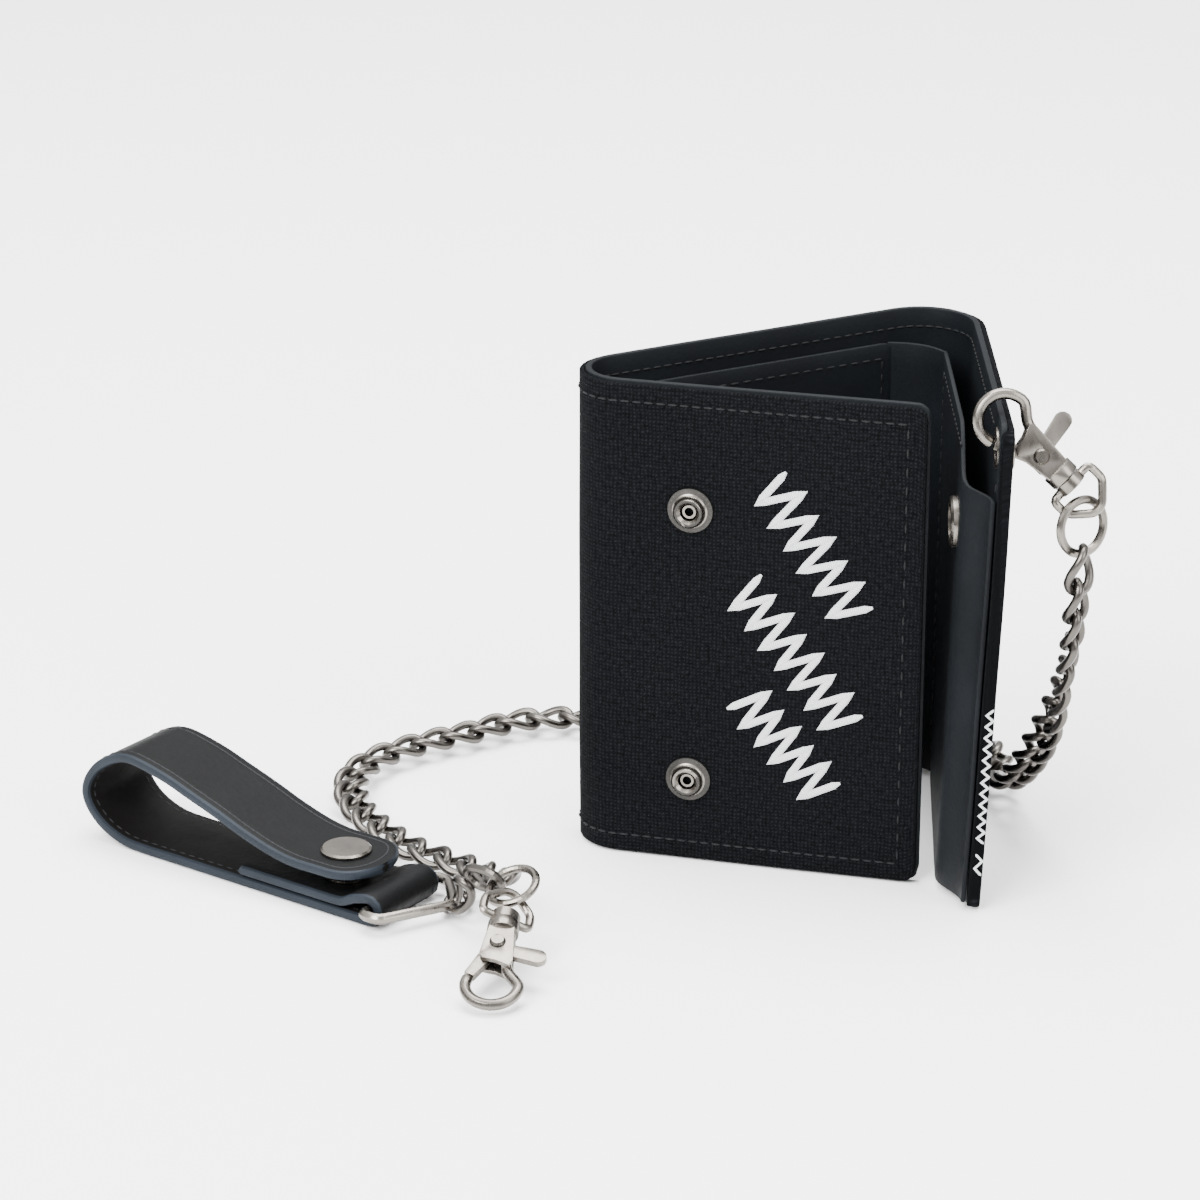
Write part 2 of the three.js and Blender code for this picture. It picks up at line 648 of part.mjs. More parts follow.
// a flat oval link with its length along X, lying in XY
function link(length, width, wireRadius) {
  const straight = (length - width) / 2;
  const bend = width / 2 - wireRadius;
  const points = [];
  for (let angle = -90; angle <= 90; angle += 30) {
    const [across, up] = [bend * Math.cos(radians(angle)), bend * Math.sin(radians(angle))];
    points.push(new THREE.Vector3(straight + across, up, 0));
  }
  for (let angle = 90; angle <= 270; angle += 30) {
    const [across, up] = [bend * Math.cos(radians(angle)), bend * Math.sin(radians(angle))];
    points.push(new THREE.Vector3(-straight + across, up, 0));
  }
  return wireLoop(points, wireRadius, 8, 32);
}

function roundRing(radius, wireRadius) {
  return new THREE.TorusGeometry(radius, wireRadius, 10, 36);
}

// the chain as a round cord through some of the points of its route
function chainTube(points, steps) {
  const places = points.map((point) => new THREE.Vector3(...point));
  const curve = new THREE.CatmullRomCurve3(places, false, 'centripetal');
  return wire(curve, CHAIN_DIAMETER / 2, CHAIN_SIDES, steps);
}

// ---- belt strap, in its own frame ---------------------------------------------------
// X runs from the triangle ring's bar to the nose, Y is the width, Z is up from the floor.

// the nose's middle line, as [distance from its end, share of the height]
const NOSE_LINE = [
  [17.5, 0],
  [12, 0.02],
  [6.4, 0.12],
  [2.6, 0.28],
  [1.1, 0.45],
  [2.1, 0.63],
  [5.2, 0.81],
  [10, 0.95],
  [15.2, 1],
];

// the flap's middle line, as [distance from the nose's end, share of the drop to the snap]
const FLAP_LINE = [
  [16.6, 0],
  [24.5, 0.14],
  [32, 0.33],
  [39.7, 0.53],
  [47.3, 0.75],
  [54.7, 0.92],
  [61, 1],
];

const BAR_HEIGHT = STRAP_THICKNESS + CLEARANCE + TRIANGLE_WIRE;

// the strap's middle line in its own XZ plane: from the end of the tab that is sewn down, round
// the triangle ring's bar, along the floor and round the nose
function strapLine() {
  const half = STRAP_THICKNESS / 2;
  const tabHeight = STRAP_THICKNESS + CLEARANCE + half;
  const wrap = TRIANGLE_WIRE + CLEARANCE + half;
  const points = [36, 28, 20, 12].map((x) => new THREE.Vector2((x * STRAP_TAB_LENGTH) / 36, tabHeight));
  points.push(new THREE.Vector2(8.2, tabHeight + 0.08));
  points.push(new THREE.Vector2(6.5, tabHeight + 0.5), new THREE.Vector2(4.4, tabHeight + 1.6));
  for (let angle = 75; angle <= 270; angle += 15) {
    const turn = radians(angle);
    points.push(new THREE.Vector2(wrap * Math.cos(turn), BAR_HEIGHT + wrap * Math.sin(turn)));
  }
  points.push(new THREE.Vector2(5, half), new THREE.Vector2(30, half), new THREE.Vector2(55, half));
  for (const [fromEnd, height] of NOSE_LINE) {
    points.push(new THREE.Vector2(STRAP_LENGTH - fromEnd, half + height * (STRAP_HEIGHT - STRAP_THICKNESS)));
  }
  return points;
}

// the flap's middle line in the same plane, from the nose down to its tip over the snap
function flapLine() {
  const top = STRAP_HEIGHT - STRAP_THICKNESS / 2;
  const rest = STRAP_FLAP_HEIGHT + STRAP_THICKNESS / 2;
  const points = FLAP_LINE.map(([fromEnd, drop]) => new THREE.Vector2(STRAP_LENGTH - fromEnd, top - drop * (top - rest)));
  points.push(new THREE.Vector2(STRAP_SNAP_FROM_BAR, rest), new THREE.Vector2(STRAP_TIP_FROM_BAR, rest));
  return points;
}

// a strip of even thickness along a line in XZ, as wide as the strap
function ribbon(line, thickness, width) {
  const curve = new THREE.SplineCurve(line);
  const steps = line.length * 2;
  const upper = [];
  const lower = [];
  for (let step = 0; step <= steps; step += 1) {
    const point = curve.getPointAt(step / steps);
    const along = curve.getTangentAt(step / steps);
    const offset = new THREE.Vector2(-along.y, along.x).multiplyScalar(thickness / 2);
    upper.push([point.x + offset.x, point.y + offset.y]);
    lower.push([point.x - offset.x, point.y - offset.y]);
  }
  const solid = prism([...upper, ...lower.reverse()], -width / 2, width / 2);
  return solid.rotateX(Math.PI / 2);
}

function strapHole(low, high) {
  return disc(STUD_BORE, low, high, 20).translate(STRAP_SNAP_FROM_BAR, 0, 0);
}

function strapBase() {
  const tabHole = strapHole(STRAP_THICKNESS + CLEARANCE / 2, 3 * STRAP_THICKNESS);
  return cut(ribbon(strapLine(), STRAP_THICKNESS, STRAP_WIDTH), tabHole);
}

function strapFlap() {
  const flat = ribbon(flapLine(), STRAP_THICKNESS, STRAP_WIDTH);
  const rounded = new THREE.Shape();
  const half = STRAP_WIDTH / 2;
  rounded.moveTo(STRAP_LENGTH, -half - 1);
  rounded.lineTo(STRAP_TIP_FROM_BAR + 8, -half - 1);
  rounded.bezierCurveTo(STRAP_TIP_FROM_BAR - 3, -half, STRAP_TIP_FROM_BAR - 3, half, STRAP_TIP_FROM_BAR + 8, half + 1);
  rounded.lineTo(STRAP_LENGTH, half + 1);
  const keep = new THREE.ExtrudeGeometry(rounded, { depth: 60, bevelEnabled: false, curveSegments: 14 });
  const hole = strapHole(STRAP_FLAP_HEIGHT - 1, STRAP_FLAP_HEIGHT + STRAP_THICKNESS + 1);
  return cut(toGeometry(toSolid(flat).intersect(toSolid(keep))), hole);
}

// the triangle of wire whose bar lies in the tab, reaching away from the strap
function triangleRing() {
  const half = STRAP_WIDTH / 2 + CLEARANCE + TRIANGLE_WIRE + 0.2;
  const shoulder = -STRAP_THICKNESS - 2 * TRIANGLE_WIRE;
  const corners = [
    new THREE.Vector3(0, -half, BAR_HEIGHT),
    new THREE.Vector3(shoulder, -half, BAR_HEIGHT),
    new THREE.Vector3(-TRIANGLE_REACH, TRIANGLE_SKEW, BAR_HEIGHT - 0.6),
    new THREE.Vector3(shoulder, half, BAR_HEIGHT),
    new THREE.Vector3(0, half, BAR_HEIGHT),
  ];
  return wireLoop(roundedOutline(corners, 1.4, 4), TRIANGLE_WIRE, 10, 72);
}

// ---- assembly -----------------------------------------------------------------------

const wallet = new THREE.Group();
const piece = (name, geometry, material, place) => {
  const mesh = new THREE.Mesh(geometry, material);
  mesh.name = name;
  if (place) mesh.applyMatrix4(place);
  wallet.add(mesh);
  return mesh;
};

for (const name of Object.keys(PANELS)) {
  piece(`${name}_canvas`, canvasPanel(name), canvasFinish);
  piece(`${name}_lining`, liningPanel(name), leatherFinish);
}
piece('back_divider', backDivider(), leatherFinish);
for (let index = 0; index < POCKET_COUNT; index += 1) {
  piece(`card_pocket_${index + 1}`, cardPocket(index), leatherFinish);
}
piece('fold_divider', foldDivider(), leatherFinish);
piece('cover_divider', coverDivider(), leatherFinish);

for (const [level, height] of Object.entries(SNAP_HEIGHTS)) {
  const outward = stripNormal(STUD_AT);
  const outer = new THREE.Vector3(...stripPoint(STUD_AT, -CLEARANCE / 2), height);
  const inner = new THREE.Vector3(...stripPoint(STUD_AT, SHELL_THICKNESS + CLEARANCE / 2), height);
  piece(`stud_${level}`, stud(), metalFinish, facing(outer, outward));
  const shankLength = SHELL_THICKNESS + 1.6;
  piece(`stud_back_${level}`, snapBack(SNAP_BACK_RADIUS, shankLength), metalFinish, facing(inner, outward));

  const depth = coverDividerDepth(SOCKET_FROM_EDGE);
  const inward = stripNormal(SOCKET_FROM_EDGE).negate();
  const front = new THREE.Vector3(...stripPoint(SOCKET_FROM_EDGE, depth + LEAF_THICKNESS + CLEARANCE / 2), height);
  const behind = new THREE.Vector3(...stripPoint(SOCKET_FROM_EDGE, depth - CLEARANCE / 2), height);
  piece(`socket_${level}`, socket(SOCKET_RADIUS), metalFinish, facing(front, inward));
  piece(`socket_back_${level}`, snapBack(SNAP_BACK_RADIUS, LEAF_THICKNESS + 0.7), metalFinish, facing(behind, inward));
}

const eyeletOutward = stripNormal(EYELET_FROM_EDGE);
const eyeletOuter = new THREE.Vector3(...stripPoint(EYELET_FROM_EDGE, 0), EYELET_HEIGHT);
const eyeletInner = new THREE.Vector3(...stripPoint(EYELET_FROM_EDGE, SHELL_THICKNESS), EYELET_HEIGHT);
piece('eyelet', eyeletBarrel(), metalFinish, facing(eyeletOuter, eyeletOutward));
piece('eyelet_washer', eyeletWasher(), metalFinish, facing(eyeletInner, eyeletOutward.clone().negate()));

// the wallet's clip hangs with its gate through the eyelet
const gateMiddle = gateEnd().lerp(new THREE.Vector2(PIVOT.x + 1.5, CLIP_BODY_WIDTH / 2 - 1.6), 0.34);
const eyeletMiddle = eyeletOuter.clone().add(eyeletInner).multiplyScalar(0.5);
const clip1Turn = alongAxis(new THREE.Vector3(), CLIP_1_AXIS, CLIP_1_FACE);
const gateOffset = new THREE.Vector3(gateMiddle.x, gateMiddle.y, 0).applyMatrix4(clip1Turn);
const clip1Place = alongAxis(eyeletMiddle.clone().sub(gateOffset), CLIP_1_AXIS, CLIP_1_FACE);
const clip2Swivel = CLIP_2_TIP.clone().addScaledVector(CLIP_2_AXIS.clone().normalize(), -HOOK_REACH);
const clip2Place = alongAxis(clip2Swivel, CLIP_2_AXIS, CLIP_2_FACE);

for (const [owner, place] of [['wallet', clip1Place], ['belt', clip2Place]]) {
  piece(`${owner}_clip_hook`, clipBody(), metalFinish, place);
  piece(`${owner}_clip_gate`, gate(), metalFinish, place);
  piece(`${owner}_clip_rivet`, rivet(), metalFinish, place);
  piece(`${owner}_clip_spring`, gateSpring(), metalFinish, place);
  const turn = new THREE.Matrix4().makeRotationX(owner === 'belt' ? radians(STIRRUP_2_TURN) : 0);
  piece(`${owner}_clip_stirrup`, stirrup(), metalFinish, place.clone().multiply(turn));
}

// the upper ring hangs in the wallet clip's stirrup
const stirrupEnd = -CLEARANCE - 0.4 - STIRRUP_DEPTH;
const stirrupApex = new THREE.Vector3(stirrupEnd + 1.2, 0, 0).applyMatrix4(clip1Place);
const ring1Place = stirrupApex.clone().add(new THREE.Vector3(-2.4, -0.4, -RING_1_RADIUS + 1.2));
piece('ring_upper', roundRing(RING_1_RADIUS, RING_1_WIRE), metalFinish,
  facing(ring1Place, new THREE.Vector3(0.55, -0.82, 0.1)));

// the lower ring hangs on the belt clip's stirrup
const stirrupFrame = clip2Place.clone().multiply(new THREE.Matrix4().makeRotationX(radians(STIRRUP_2_TURN)));
const ring2Reach = RING_2_RADIUS - RING_2_WIRE - 2 * STIRRUP_WIRE - CLEARANCE;
const ring2Place = new THREE.Vector3(stirrupEnd - ring2Reach, 0, 0).applyMatrix4(stirrupFrame);
const ring2Axis = new THREE.Vector3(0, Math.cos(radians(RING_2_TURN)), Math.sin(radians(RING_2_TURN)));
ring2Axis.transformDirection(stirrupFrame);
piece('ring_lower', roundRing(RING_2_RADIUS, RING_2_WIRE), metalFinish, facing(ring2Place, ring2Axis));

// the link through the lower ring, square to it
const linkHeading = SIDE_LINK_HEADING.clone();
linkHeading.addScaledVector(ring2Axis, -linkHeading.dot(ring2Axis)).normalize();
const linkFace = new THREE.Vector3().crossVectors(linkHeading, ring2Axis).normalize();
const linkReach = RING_2_RADIUS - RING_2_WIRE - 2 * LINK_WIRE - CLEARANCE + LINK_LENGTH / 2;
const linkPlace = ring2Place.clone().addScaledVector(linkHeading, linkReach);
piece('link_ring_side', link(LINK_LENGTH, LINK_WIDTH, LINK_WIRE), chainFinish,
  alongAxis(linkPlace, linkHeading, linkFace));
const lyingRoute = CHAIN_ROUTE.slice(HANGING_POINTS - 1);
lyingRoute[0] = [lyingRoute[0][0] - 2 * CLEARANCE, lyingRoute[0][1], lyingRoute[0][2]];
piece('chain_hanging', chainTube(CHAIN_ROUTE.slice(0, HANGING_POINTS), CHAIN_STEPS.hanging), chainFinish);
piece('chain_lying', chainTube(lyingRoute, CHAIN_STEPS.lying), chainFinish);

const strapPlace = new THREE.Matrix4().makeRotationZ(radians(STRAP_HEADING)).setPosition(STRAP_PLACE);
piece('strap_base', strapBase(), strapFinish, strapPlace);
piece('strap_flap', strapFlap(), strapFinish, strapPlace);
piece('triangle_ring', triangleRing(), metalFinish, strapPlace);

const upward = new THREE.Vector3(0, 0, 1);
const onStrap = (height, direction) => {
  const point = new THREE.Vector3(STRAP_SNAP_FROM_BAR, 0, height);
  return strapPlace.clone().multiply(facing(point, direction));
};
const tabTop = 2 * STRAP_THICKNESS + CLEARANCE;
piece('strap_stud', stud(), metalFinish, onStrap(tabTop + CLEARANCE / 2, upward));
piece('strap_socket', socket(SOCKET_RADIUS), metalFinish,
  onStrap(STRAP_FLAP_HEIGHT - CLEARANCE / 2, upward.clone().negate()));
piece('strap_cap', snapBack(STRAP_CAP_RADIUS, STRAP_THICKNESS + 0.7), metalFinish,
  onStrap(STRAP_FLAP_HEIGHT + STRAP_THICKNESS + CLEARANCE / 2, upward.clone().negate()));

// stand the part with the middle of its footprint at the origin, the chain and what is on it left out
const ON_CHAIN = /^(chain|ring_|link_|wallet_clip|belt_clip)/;
wallet.updateMatrixWorld(true);
const footprint = new THREE.Box3();
for (const mesh of wallet.children) {
  if (!ON_CHAIN.test(mesh.name)) footprint.expandByObject(mesh, true);
}
const middle = footprint.getCenter(new THREE.Vector3());
wallet.position.set(-middle.x, -middle.y, 0);

export default wallet;
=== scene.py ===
"""Chain wallet: a trifold wallet of canvas and leather, its curb chain with two swivel clips,
and a leather belt strap. Laid out as an add-on; sizes are in millimetres unless a name says so."""

import json
import math

import bmesh
import bpy
from mathutils import Matrix, Vector, noise
from mathutils.geometry import interpolate_bezier
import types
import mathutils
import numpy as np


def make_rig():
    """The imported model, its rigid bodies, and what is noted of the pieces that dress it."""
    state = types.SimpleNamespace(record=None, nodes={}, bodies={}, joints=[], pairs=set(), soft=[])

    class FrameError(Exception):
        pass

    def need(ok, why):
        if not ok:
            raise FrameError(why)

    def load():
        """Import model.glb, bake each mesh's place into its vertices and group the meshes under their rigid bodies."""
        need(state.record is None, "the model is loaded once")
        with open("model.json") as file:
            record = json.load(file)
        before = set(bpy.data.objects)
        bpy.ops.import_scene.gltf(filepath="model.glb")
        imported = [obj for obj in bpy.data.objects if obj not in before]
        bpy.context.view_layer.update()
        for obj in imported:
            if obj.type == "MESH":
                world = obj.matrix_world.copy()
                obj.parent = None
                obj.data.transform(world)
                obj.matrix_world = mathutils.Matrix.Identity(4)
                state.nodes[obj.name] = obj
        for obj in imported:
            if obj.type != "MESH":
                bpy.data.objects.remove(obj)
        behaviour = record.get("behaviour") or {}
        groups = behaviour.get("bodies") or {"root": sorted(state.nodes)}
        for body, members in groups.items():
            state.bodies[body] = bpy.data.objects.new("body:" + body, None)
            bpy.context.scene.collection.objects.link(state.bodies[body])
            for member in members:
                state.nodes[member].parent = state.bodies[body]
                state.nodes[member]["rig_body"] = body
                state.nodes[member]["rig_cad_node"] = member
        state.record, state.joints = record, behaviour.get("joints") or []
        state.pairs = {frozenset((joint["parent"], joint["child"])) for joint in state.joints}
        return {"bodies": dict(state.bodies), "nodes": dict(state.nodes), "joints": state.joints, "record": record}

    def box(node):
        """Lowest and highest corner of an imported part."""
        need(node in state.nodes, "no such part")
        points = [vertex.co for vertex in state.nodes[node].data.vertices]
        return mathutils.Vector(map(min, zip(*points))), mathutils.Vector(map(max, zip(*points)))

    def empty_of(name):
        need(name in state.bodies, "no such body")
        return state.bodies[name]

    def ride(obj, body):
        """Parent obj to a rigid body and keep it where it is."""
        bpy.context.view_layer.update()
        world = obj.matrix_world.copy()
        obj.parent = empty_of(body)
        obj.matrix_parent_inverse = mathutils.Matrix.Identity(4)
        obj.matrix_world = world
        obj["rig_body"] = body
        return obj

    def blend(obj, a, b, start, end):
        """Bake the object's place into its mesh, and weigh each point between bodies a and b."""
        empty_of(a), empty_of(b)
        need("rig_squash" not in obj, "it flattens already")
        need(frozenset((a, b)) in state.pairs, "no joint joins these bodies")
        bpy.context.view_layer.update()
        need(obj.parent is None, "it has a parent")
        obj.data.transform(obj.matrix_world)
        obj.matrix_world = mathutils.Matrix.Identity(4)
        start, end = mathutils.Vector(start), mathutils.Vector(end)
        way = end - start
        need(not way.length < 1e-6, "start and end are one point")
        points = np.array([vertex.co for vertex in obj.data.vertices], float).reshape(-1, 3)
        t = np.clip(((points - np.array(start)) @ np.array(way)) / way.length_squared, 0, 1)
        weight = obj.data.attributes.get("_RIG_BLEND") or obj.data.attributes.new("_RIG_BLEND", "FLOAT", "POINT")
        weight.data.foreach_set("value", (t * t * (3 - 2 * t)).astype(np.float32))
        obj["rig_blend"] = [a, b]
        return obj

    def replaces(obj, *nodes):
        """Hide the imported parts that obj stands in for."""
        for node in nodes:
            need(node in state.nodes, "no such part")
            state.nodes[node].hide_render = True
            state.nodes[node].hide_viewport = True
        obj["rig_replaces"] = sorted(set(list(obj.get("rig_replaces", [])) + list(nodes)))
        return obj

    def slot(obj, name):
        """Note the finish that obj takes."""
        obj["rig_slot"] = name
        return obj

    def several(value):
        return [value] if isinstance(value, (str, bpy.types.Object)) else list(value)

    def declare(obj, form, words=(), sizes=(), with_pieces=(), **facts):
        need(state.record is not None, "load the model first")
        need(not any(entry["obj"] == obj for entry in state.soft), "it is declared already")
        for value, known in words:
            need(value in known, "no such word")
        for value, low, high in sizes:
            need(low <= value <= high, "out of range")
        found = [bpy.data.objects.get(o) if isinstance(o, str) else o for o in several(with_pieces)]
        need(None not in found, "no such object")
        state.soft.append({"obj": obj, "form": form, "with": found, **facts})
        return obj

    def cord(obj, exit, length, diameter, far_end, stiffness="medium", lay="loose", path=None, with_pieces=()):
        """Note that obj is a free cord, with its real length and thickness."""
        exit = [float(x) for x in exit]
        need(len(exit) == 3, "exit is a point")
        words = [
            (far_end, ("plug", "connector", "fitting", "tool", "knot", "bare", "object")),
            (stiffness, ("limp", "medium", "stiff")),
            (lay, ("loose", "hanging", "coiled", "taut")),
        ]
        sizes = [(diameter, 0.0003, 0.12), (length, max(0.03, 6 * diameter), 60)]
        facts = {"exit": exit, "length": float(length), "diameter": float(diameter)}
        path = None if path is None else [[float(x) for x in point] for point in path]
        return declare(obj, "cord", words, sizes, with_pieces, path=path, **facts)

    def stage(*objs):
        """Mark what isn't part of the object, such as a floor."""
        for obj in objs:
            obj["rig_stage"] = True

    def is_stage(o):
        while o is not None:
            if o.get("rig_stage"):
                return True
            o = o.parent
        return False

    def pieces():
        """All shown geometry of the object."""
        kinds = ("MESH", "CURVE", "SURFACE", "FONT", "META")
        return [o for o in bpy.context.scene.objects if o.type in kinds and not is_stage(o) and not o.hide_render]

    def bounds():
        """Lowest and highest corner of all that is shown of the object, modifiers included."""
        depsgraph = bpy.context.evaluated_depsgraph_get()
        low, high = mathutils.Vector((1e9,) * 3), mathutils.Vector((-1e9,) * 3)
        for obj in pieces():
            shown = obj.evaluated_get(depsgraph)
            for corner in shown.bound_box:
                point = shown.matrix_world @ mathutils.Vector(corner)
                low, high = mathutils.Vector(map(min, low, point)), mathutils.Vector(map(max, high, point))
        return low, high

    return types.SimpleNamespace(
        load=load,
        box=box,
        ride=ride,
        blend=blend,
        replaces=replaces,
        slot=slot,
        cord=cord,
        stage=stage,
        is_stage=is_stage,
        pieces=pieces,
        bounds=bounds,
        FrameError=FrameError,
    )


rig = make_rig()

bl_info = {
    "name": "Chain Wallet",
    "version": (1, 0, 0),
    "blender": (4, 5, 0),
    "location": "View3D > Sidebar > Wallet",
    "description": "Builds a standing trifold wallet with its chain, clips and belt strap",
    "category": "Add Mesh",
}

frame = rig.load()
CAD_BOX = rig.bounds()

# ---- the wallet's plan, as the frame has it -------------------------------------------

MM = 0.001
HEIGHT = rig.box("cover_canvas")[1].z / MM
COVER_LENGTH = 73.5
BACK_LENGTH = 72.6
FRONT_LENGTH = 68.0
RIGHT_FOLD_RADIUS = 14
RIGHT_FOLD_TURN = 118.0
LEFT_FOLD_RADIUS = 11
LEFT_FOLD_TURN = 137.0
STRETCHES = (
    ("cover", COVER_LENGTH, 0.0),
    ("right_fold", RIGHT_FOLD_RADIUS * math.radians(RIGHT_FOLD_TURN), RIGHT_FOLD_TURN),
    ("back", BACK_LENGTH, 0.0),
    ("left_fold", LEFT_FOLD_RADIUS * math.radians(LEFT_FOLD_TURN), LEFT_FOLD_TURN),
    ("front", FRONT_LENGTH, 0.0),
)
COVER_EDGE = Vector((88.1, -37.5))
START = {}
STRIP_LENGTH = 0.0
for stretch_name, stretch_length, stretch_turn in STRETCHES:
    START[stretch_name] = STRIP_LENGTH
    STRIP_LENGTH += stretch_length
COVER_TIP = (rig.box("cover_canvas")[1].x / MM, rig.box("cover_canvas")[0].y / MM)
PLAN_SHIFT = Vector((COVER_TIP[0] - COVER_EDGE.x, COVER_TIP[1] - COVER_EDGE.y, 0))
BACK_MIDDLE = START["back"] + BACK_LENGTH / 2
SHELL = 2.8
CANVAS = 1.25
LINING_DEPTH = 1.3
LINING = 1.5
UNEVENNESS = 0.22
LEAF = 1.0
DIVIDER_START = START["back"] + 3
DIVIDER_END = START["left_fold"] - 4
DIVIDER_DEPTH = 5
DIVIDER_FOOT = 1.5
DIVIDER_TOP = HEIGHT - 6.5
POCKET_TOP = 90
POCKET_STEP = 13
POCKET_SPACING = 1.3
EYELET_SEAM_GAP = 5.8
STUD_FROM_FOLD = 16.5
EYELET = (8, HEIGHT - 7)

CHAIN_ROUTE = (
    (103.4, -34.6, 81.5),
    (102.7, -34.2, 73.2),
    (102.6, -30, 62),
    (102, -23.5, 50),
    (100.9, -14, 37),
    (99.2, -3.5, 25),
    (97.2, 6, 15.5),
    (95.4, 15, 8.6),
    (94.4, 23, 4.8),
    (94.2, 31, 3.8),
    (93.4, 40, 3.8),
    (89.8, 49, 3.8),
    (83, 56.4, 3.8),
    (74, 61, 3.8),
    (62, 63.5, 3.8),
    (48, 63, 3.8),
    (34, 60.8, 3.8),
    (20, 59.6, 3.8),
    (8, 60.4, 3.8),
    (-4, 62.3, 3.8),
    (-16.7, 60.6, 3.8),
    (-29, 53, 3.8),
    (-40.5, 46, 3.8),
    (-50, 37, 3.8),
    (-54.6, 25, 3.8),
    (-53, 11, 3.8),
    (-47, -2, 3.8),
    (-39, -13, 3.8),
    (-30, -21.2, 4.2),
    (-24.4, -28, 5.4),
    (-20.4, -37, 7.8),
    (-17.4, -44.5, 11.2),
)
HANGING_POINTS = 16

STRAP_BAR = Vector((-41.5, -37, 0))
STRAP_HEADING = math.radians(144)
STRAP_WIDTH = 21
STRAP_THICKNESS = 2.2
STRAP_LENGTH = 82
STRAP_HEIGHT = 23
FLAP_HEIGHT = 8.3
BAR_HEIGHT = 3.7
NOSE_LINE = (
    (17.5, 0),
    (12, 0.02),
    (6.4, 0.12),
    (2.6, 0.28),
    (1.1, 0.45),
    (2.1, 0.63),
    (5.2, 0.81),
    (10, 0.95),
    (15.2, 1),
)
FLAP_LINE = ((16.6, 0), (24.5, 0.14), (32, 0.33), (39.7, 0.53), (47.3, 0.75), (54.7, 0.92), (61, 1))


def at(x, y, z):
    """A place of the wallet's plan, in metres in the row frame."""
    return (Vector((x, y, z)) + PLAN_SHIFT) * MM


def strip_at(distance):
    """Point and heading of the strip's outer face at a distance from the cover's free edge."""
    position = COVER_EDGE.copy()
    heading = math.pi / 2
    left = distance
    for _, length, turn in STRETCHES:
        run = min(left, length)
        if turn == 0:
            position = position + run * Vector((math.cos(heading), math.sin(heading)))
        else:
            radius = length / math.radians(turn)
            angle = run / radius
            centre = position + radius * Vector((-math.sin(heading), math.cos(heading)))
            arm = position - centre
            arm.rotate(Matrix.Rotation(angle, 2))
            position = centre + arm
            heading += angle
        left -= run
        if left <= 0:
            break
    return position, heading


def cover_lean(distance, height):
    """How far the cover's foot leans in, which grows towards its free edge."""
    if distance >= START["right_fold"]:
        return 0.0
    lean = bpy.context.scene.wallet_sizes.cover_lean / MM
    return lean * (1 - distance / START["right_fold"]) ** 0.8 * (1 - height / HEIGHT) ** 1.2


def strip_point(distance, depth, height):
    """A place on the wallet: along the strip, in from its outer face, and up."""
    position, heading = strip_at(distance)
    x = position.x - depth * math.sin(heading)
    y = position.y + depth * math.cos(heading)
    return at(x - cover_lean(distance, height), y, height)


def strip_normal(distance):
    _, heading = strip_at(distance)
    return Vector((math.sin(heading), -math.cos(heading), 0))


# ---- modelling helpers ----------------------------------------------------------------


SMOOTH_ANGLE = 40.0
METAL_ANGLE = 35.0


def deselect():
    if bpy.context.object and bpy.context.object.mode != "OBJECT":
        bpy.ops.object.mode_set(mode="OBJECT")
    bpy.ops.object.select_all(action="DESELECT")


def activate(piece):
    deselect()
    bpy.context.view_layer.objects.active = piece
    piece.select_set(True)


def finish_mesh(piece, materials):
    """Closes the work on a piece: normals out, smooth faces, and its materials in order."""
    activate(piece)
    bpy.ops.object.mode_set(mode="EDIT")
    bpy.ops.mesh.select_all(action="SELECT")
    bpy.ops.mesh.normals_make_consistent(inside=False)
    bpy.ops.object.mode_set(mode="OBJECT")
    bpy.ops.object.shade_smooth_by_angle(angle=math.radians(SMOOTH_ANGLE))
    for material in materials:
        piece.data.materials.append(material)
    deselect()
    return piece


def loft(name, sections, materials, band=None):
    """A skin through closed sections of equal count, extruded from one to the next.
    Its UV map runs along the sections and round them, in metres.
    band(corner) picks the material of a face by its place round the section."""
    deselect()
    count = len(sections[0])
    bpy.ops.mesh.primitive_circle_add(vertices=count, fill_type="NGON")
    piece = bpy.context.object
    piece.name = name
    bpy.ops.object.mode_set(mode="EDIT")
    edit = bmesh.from_edit_mesh(piece.data)
    corner = edit.verts.layers.int.new("corner")
    row = edit.verts.layers.int.new("row")
    for index, vert in enumerate(edit.verts):
        vert[corner] = index
        vert[row] = 0
        vert.co = sections[0][index]
    for number, section in enumerate(sections[1:], 1):
        bpy.ops.mesh.extrude_region_move()
        edit = bmesh.from_edit_mesh(piece.data)
        corner = edit.verts.layers.int["corner"]
        row = edit.verts.layers.int["row"]
        for vert in edit.verts:
            if vert.select:
                vert.co = section[vert[corner]]
                vert[row] = number
    edit = bmesh.from_edit_mesh(piece.data)
    corner = edit.verts.layers.int["corner"]
    row = edit.verts.layers.int["row"]
    along = [0.0]
    for before, after in zip(sections, sections[1:]):
        step = sum((a - b).length for a, b in zip(after, before)) / count
        along.append(along[-1] + step)
    middle = sections[len(sections) // 2]
    around = [0.0]
    for index in range(count):
        around.append(around[-1] + (middle[(index + 1) % count] - middle[index]).length)
    uv = edit.loops.layers.uv.verify()
    for face in edit.faces:
        corners = [loop.vert[corner] for loop in face.loops]
        wraps = max(corners) - min(corners) > count // 2 and len(corners) == 4
        for loop in face.loops:
            index = loop.vert[corner]
            if wraps and index < count // 2:
                index += count
            loop[uv].uv = (along[loop.vert[row]], around[min(index, count)])
        if band and len(corners) == 4:
            first = min(corners) if not wraps else max(corners)
            face.material_index = band(first)
    bmesh.update_edit_mesh(piece.data)
    bpy.ops.object.mode_set(mode="OBJECT")
    return finish_mesh(piece, materials)


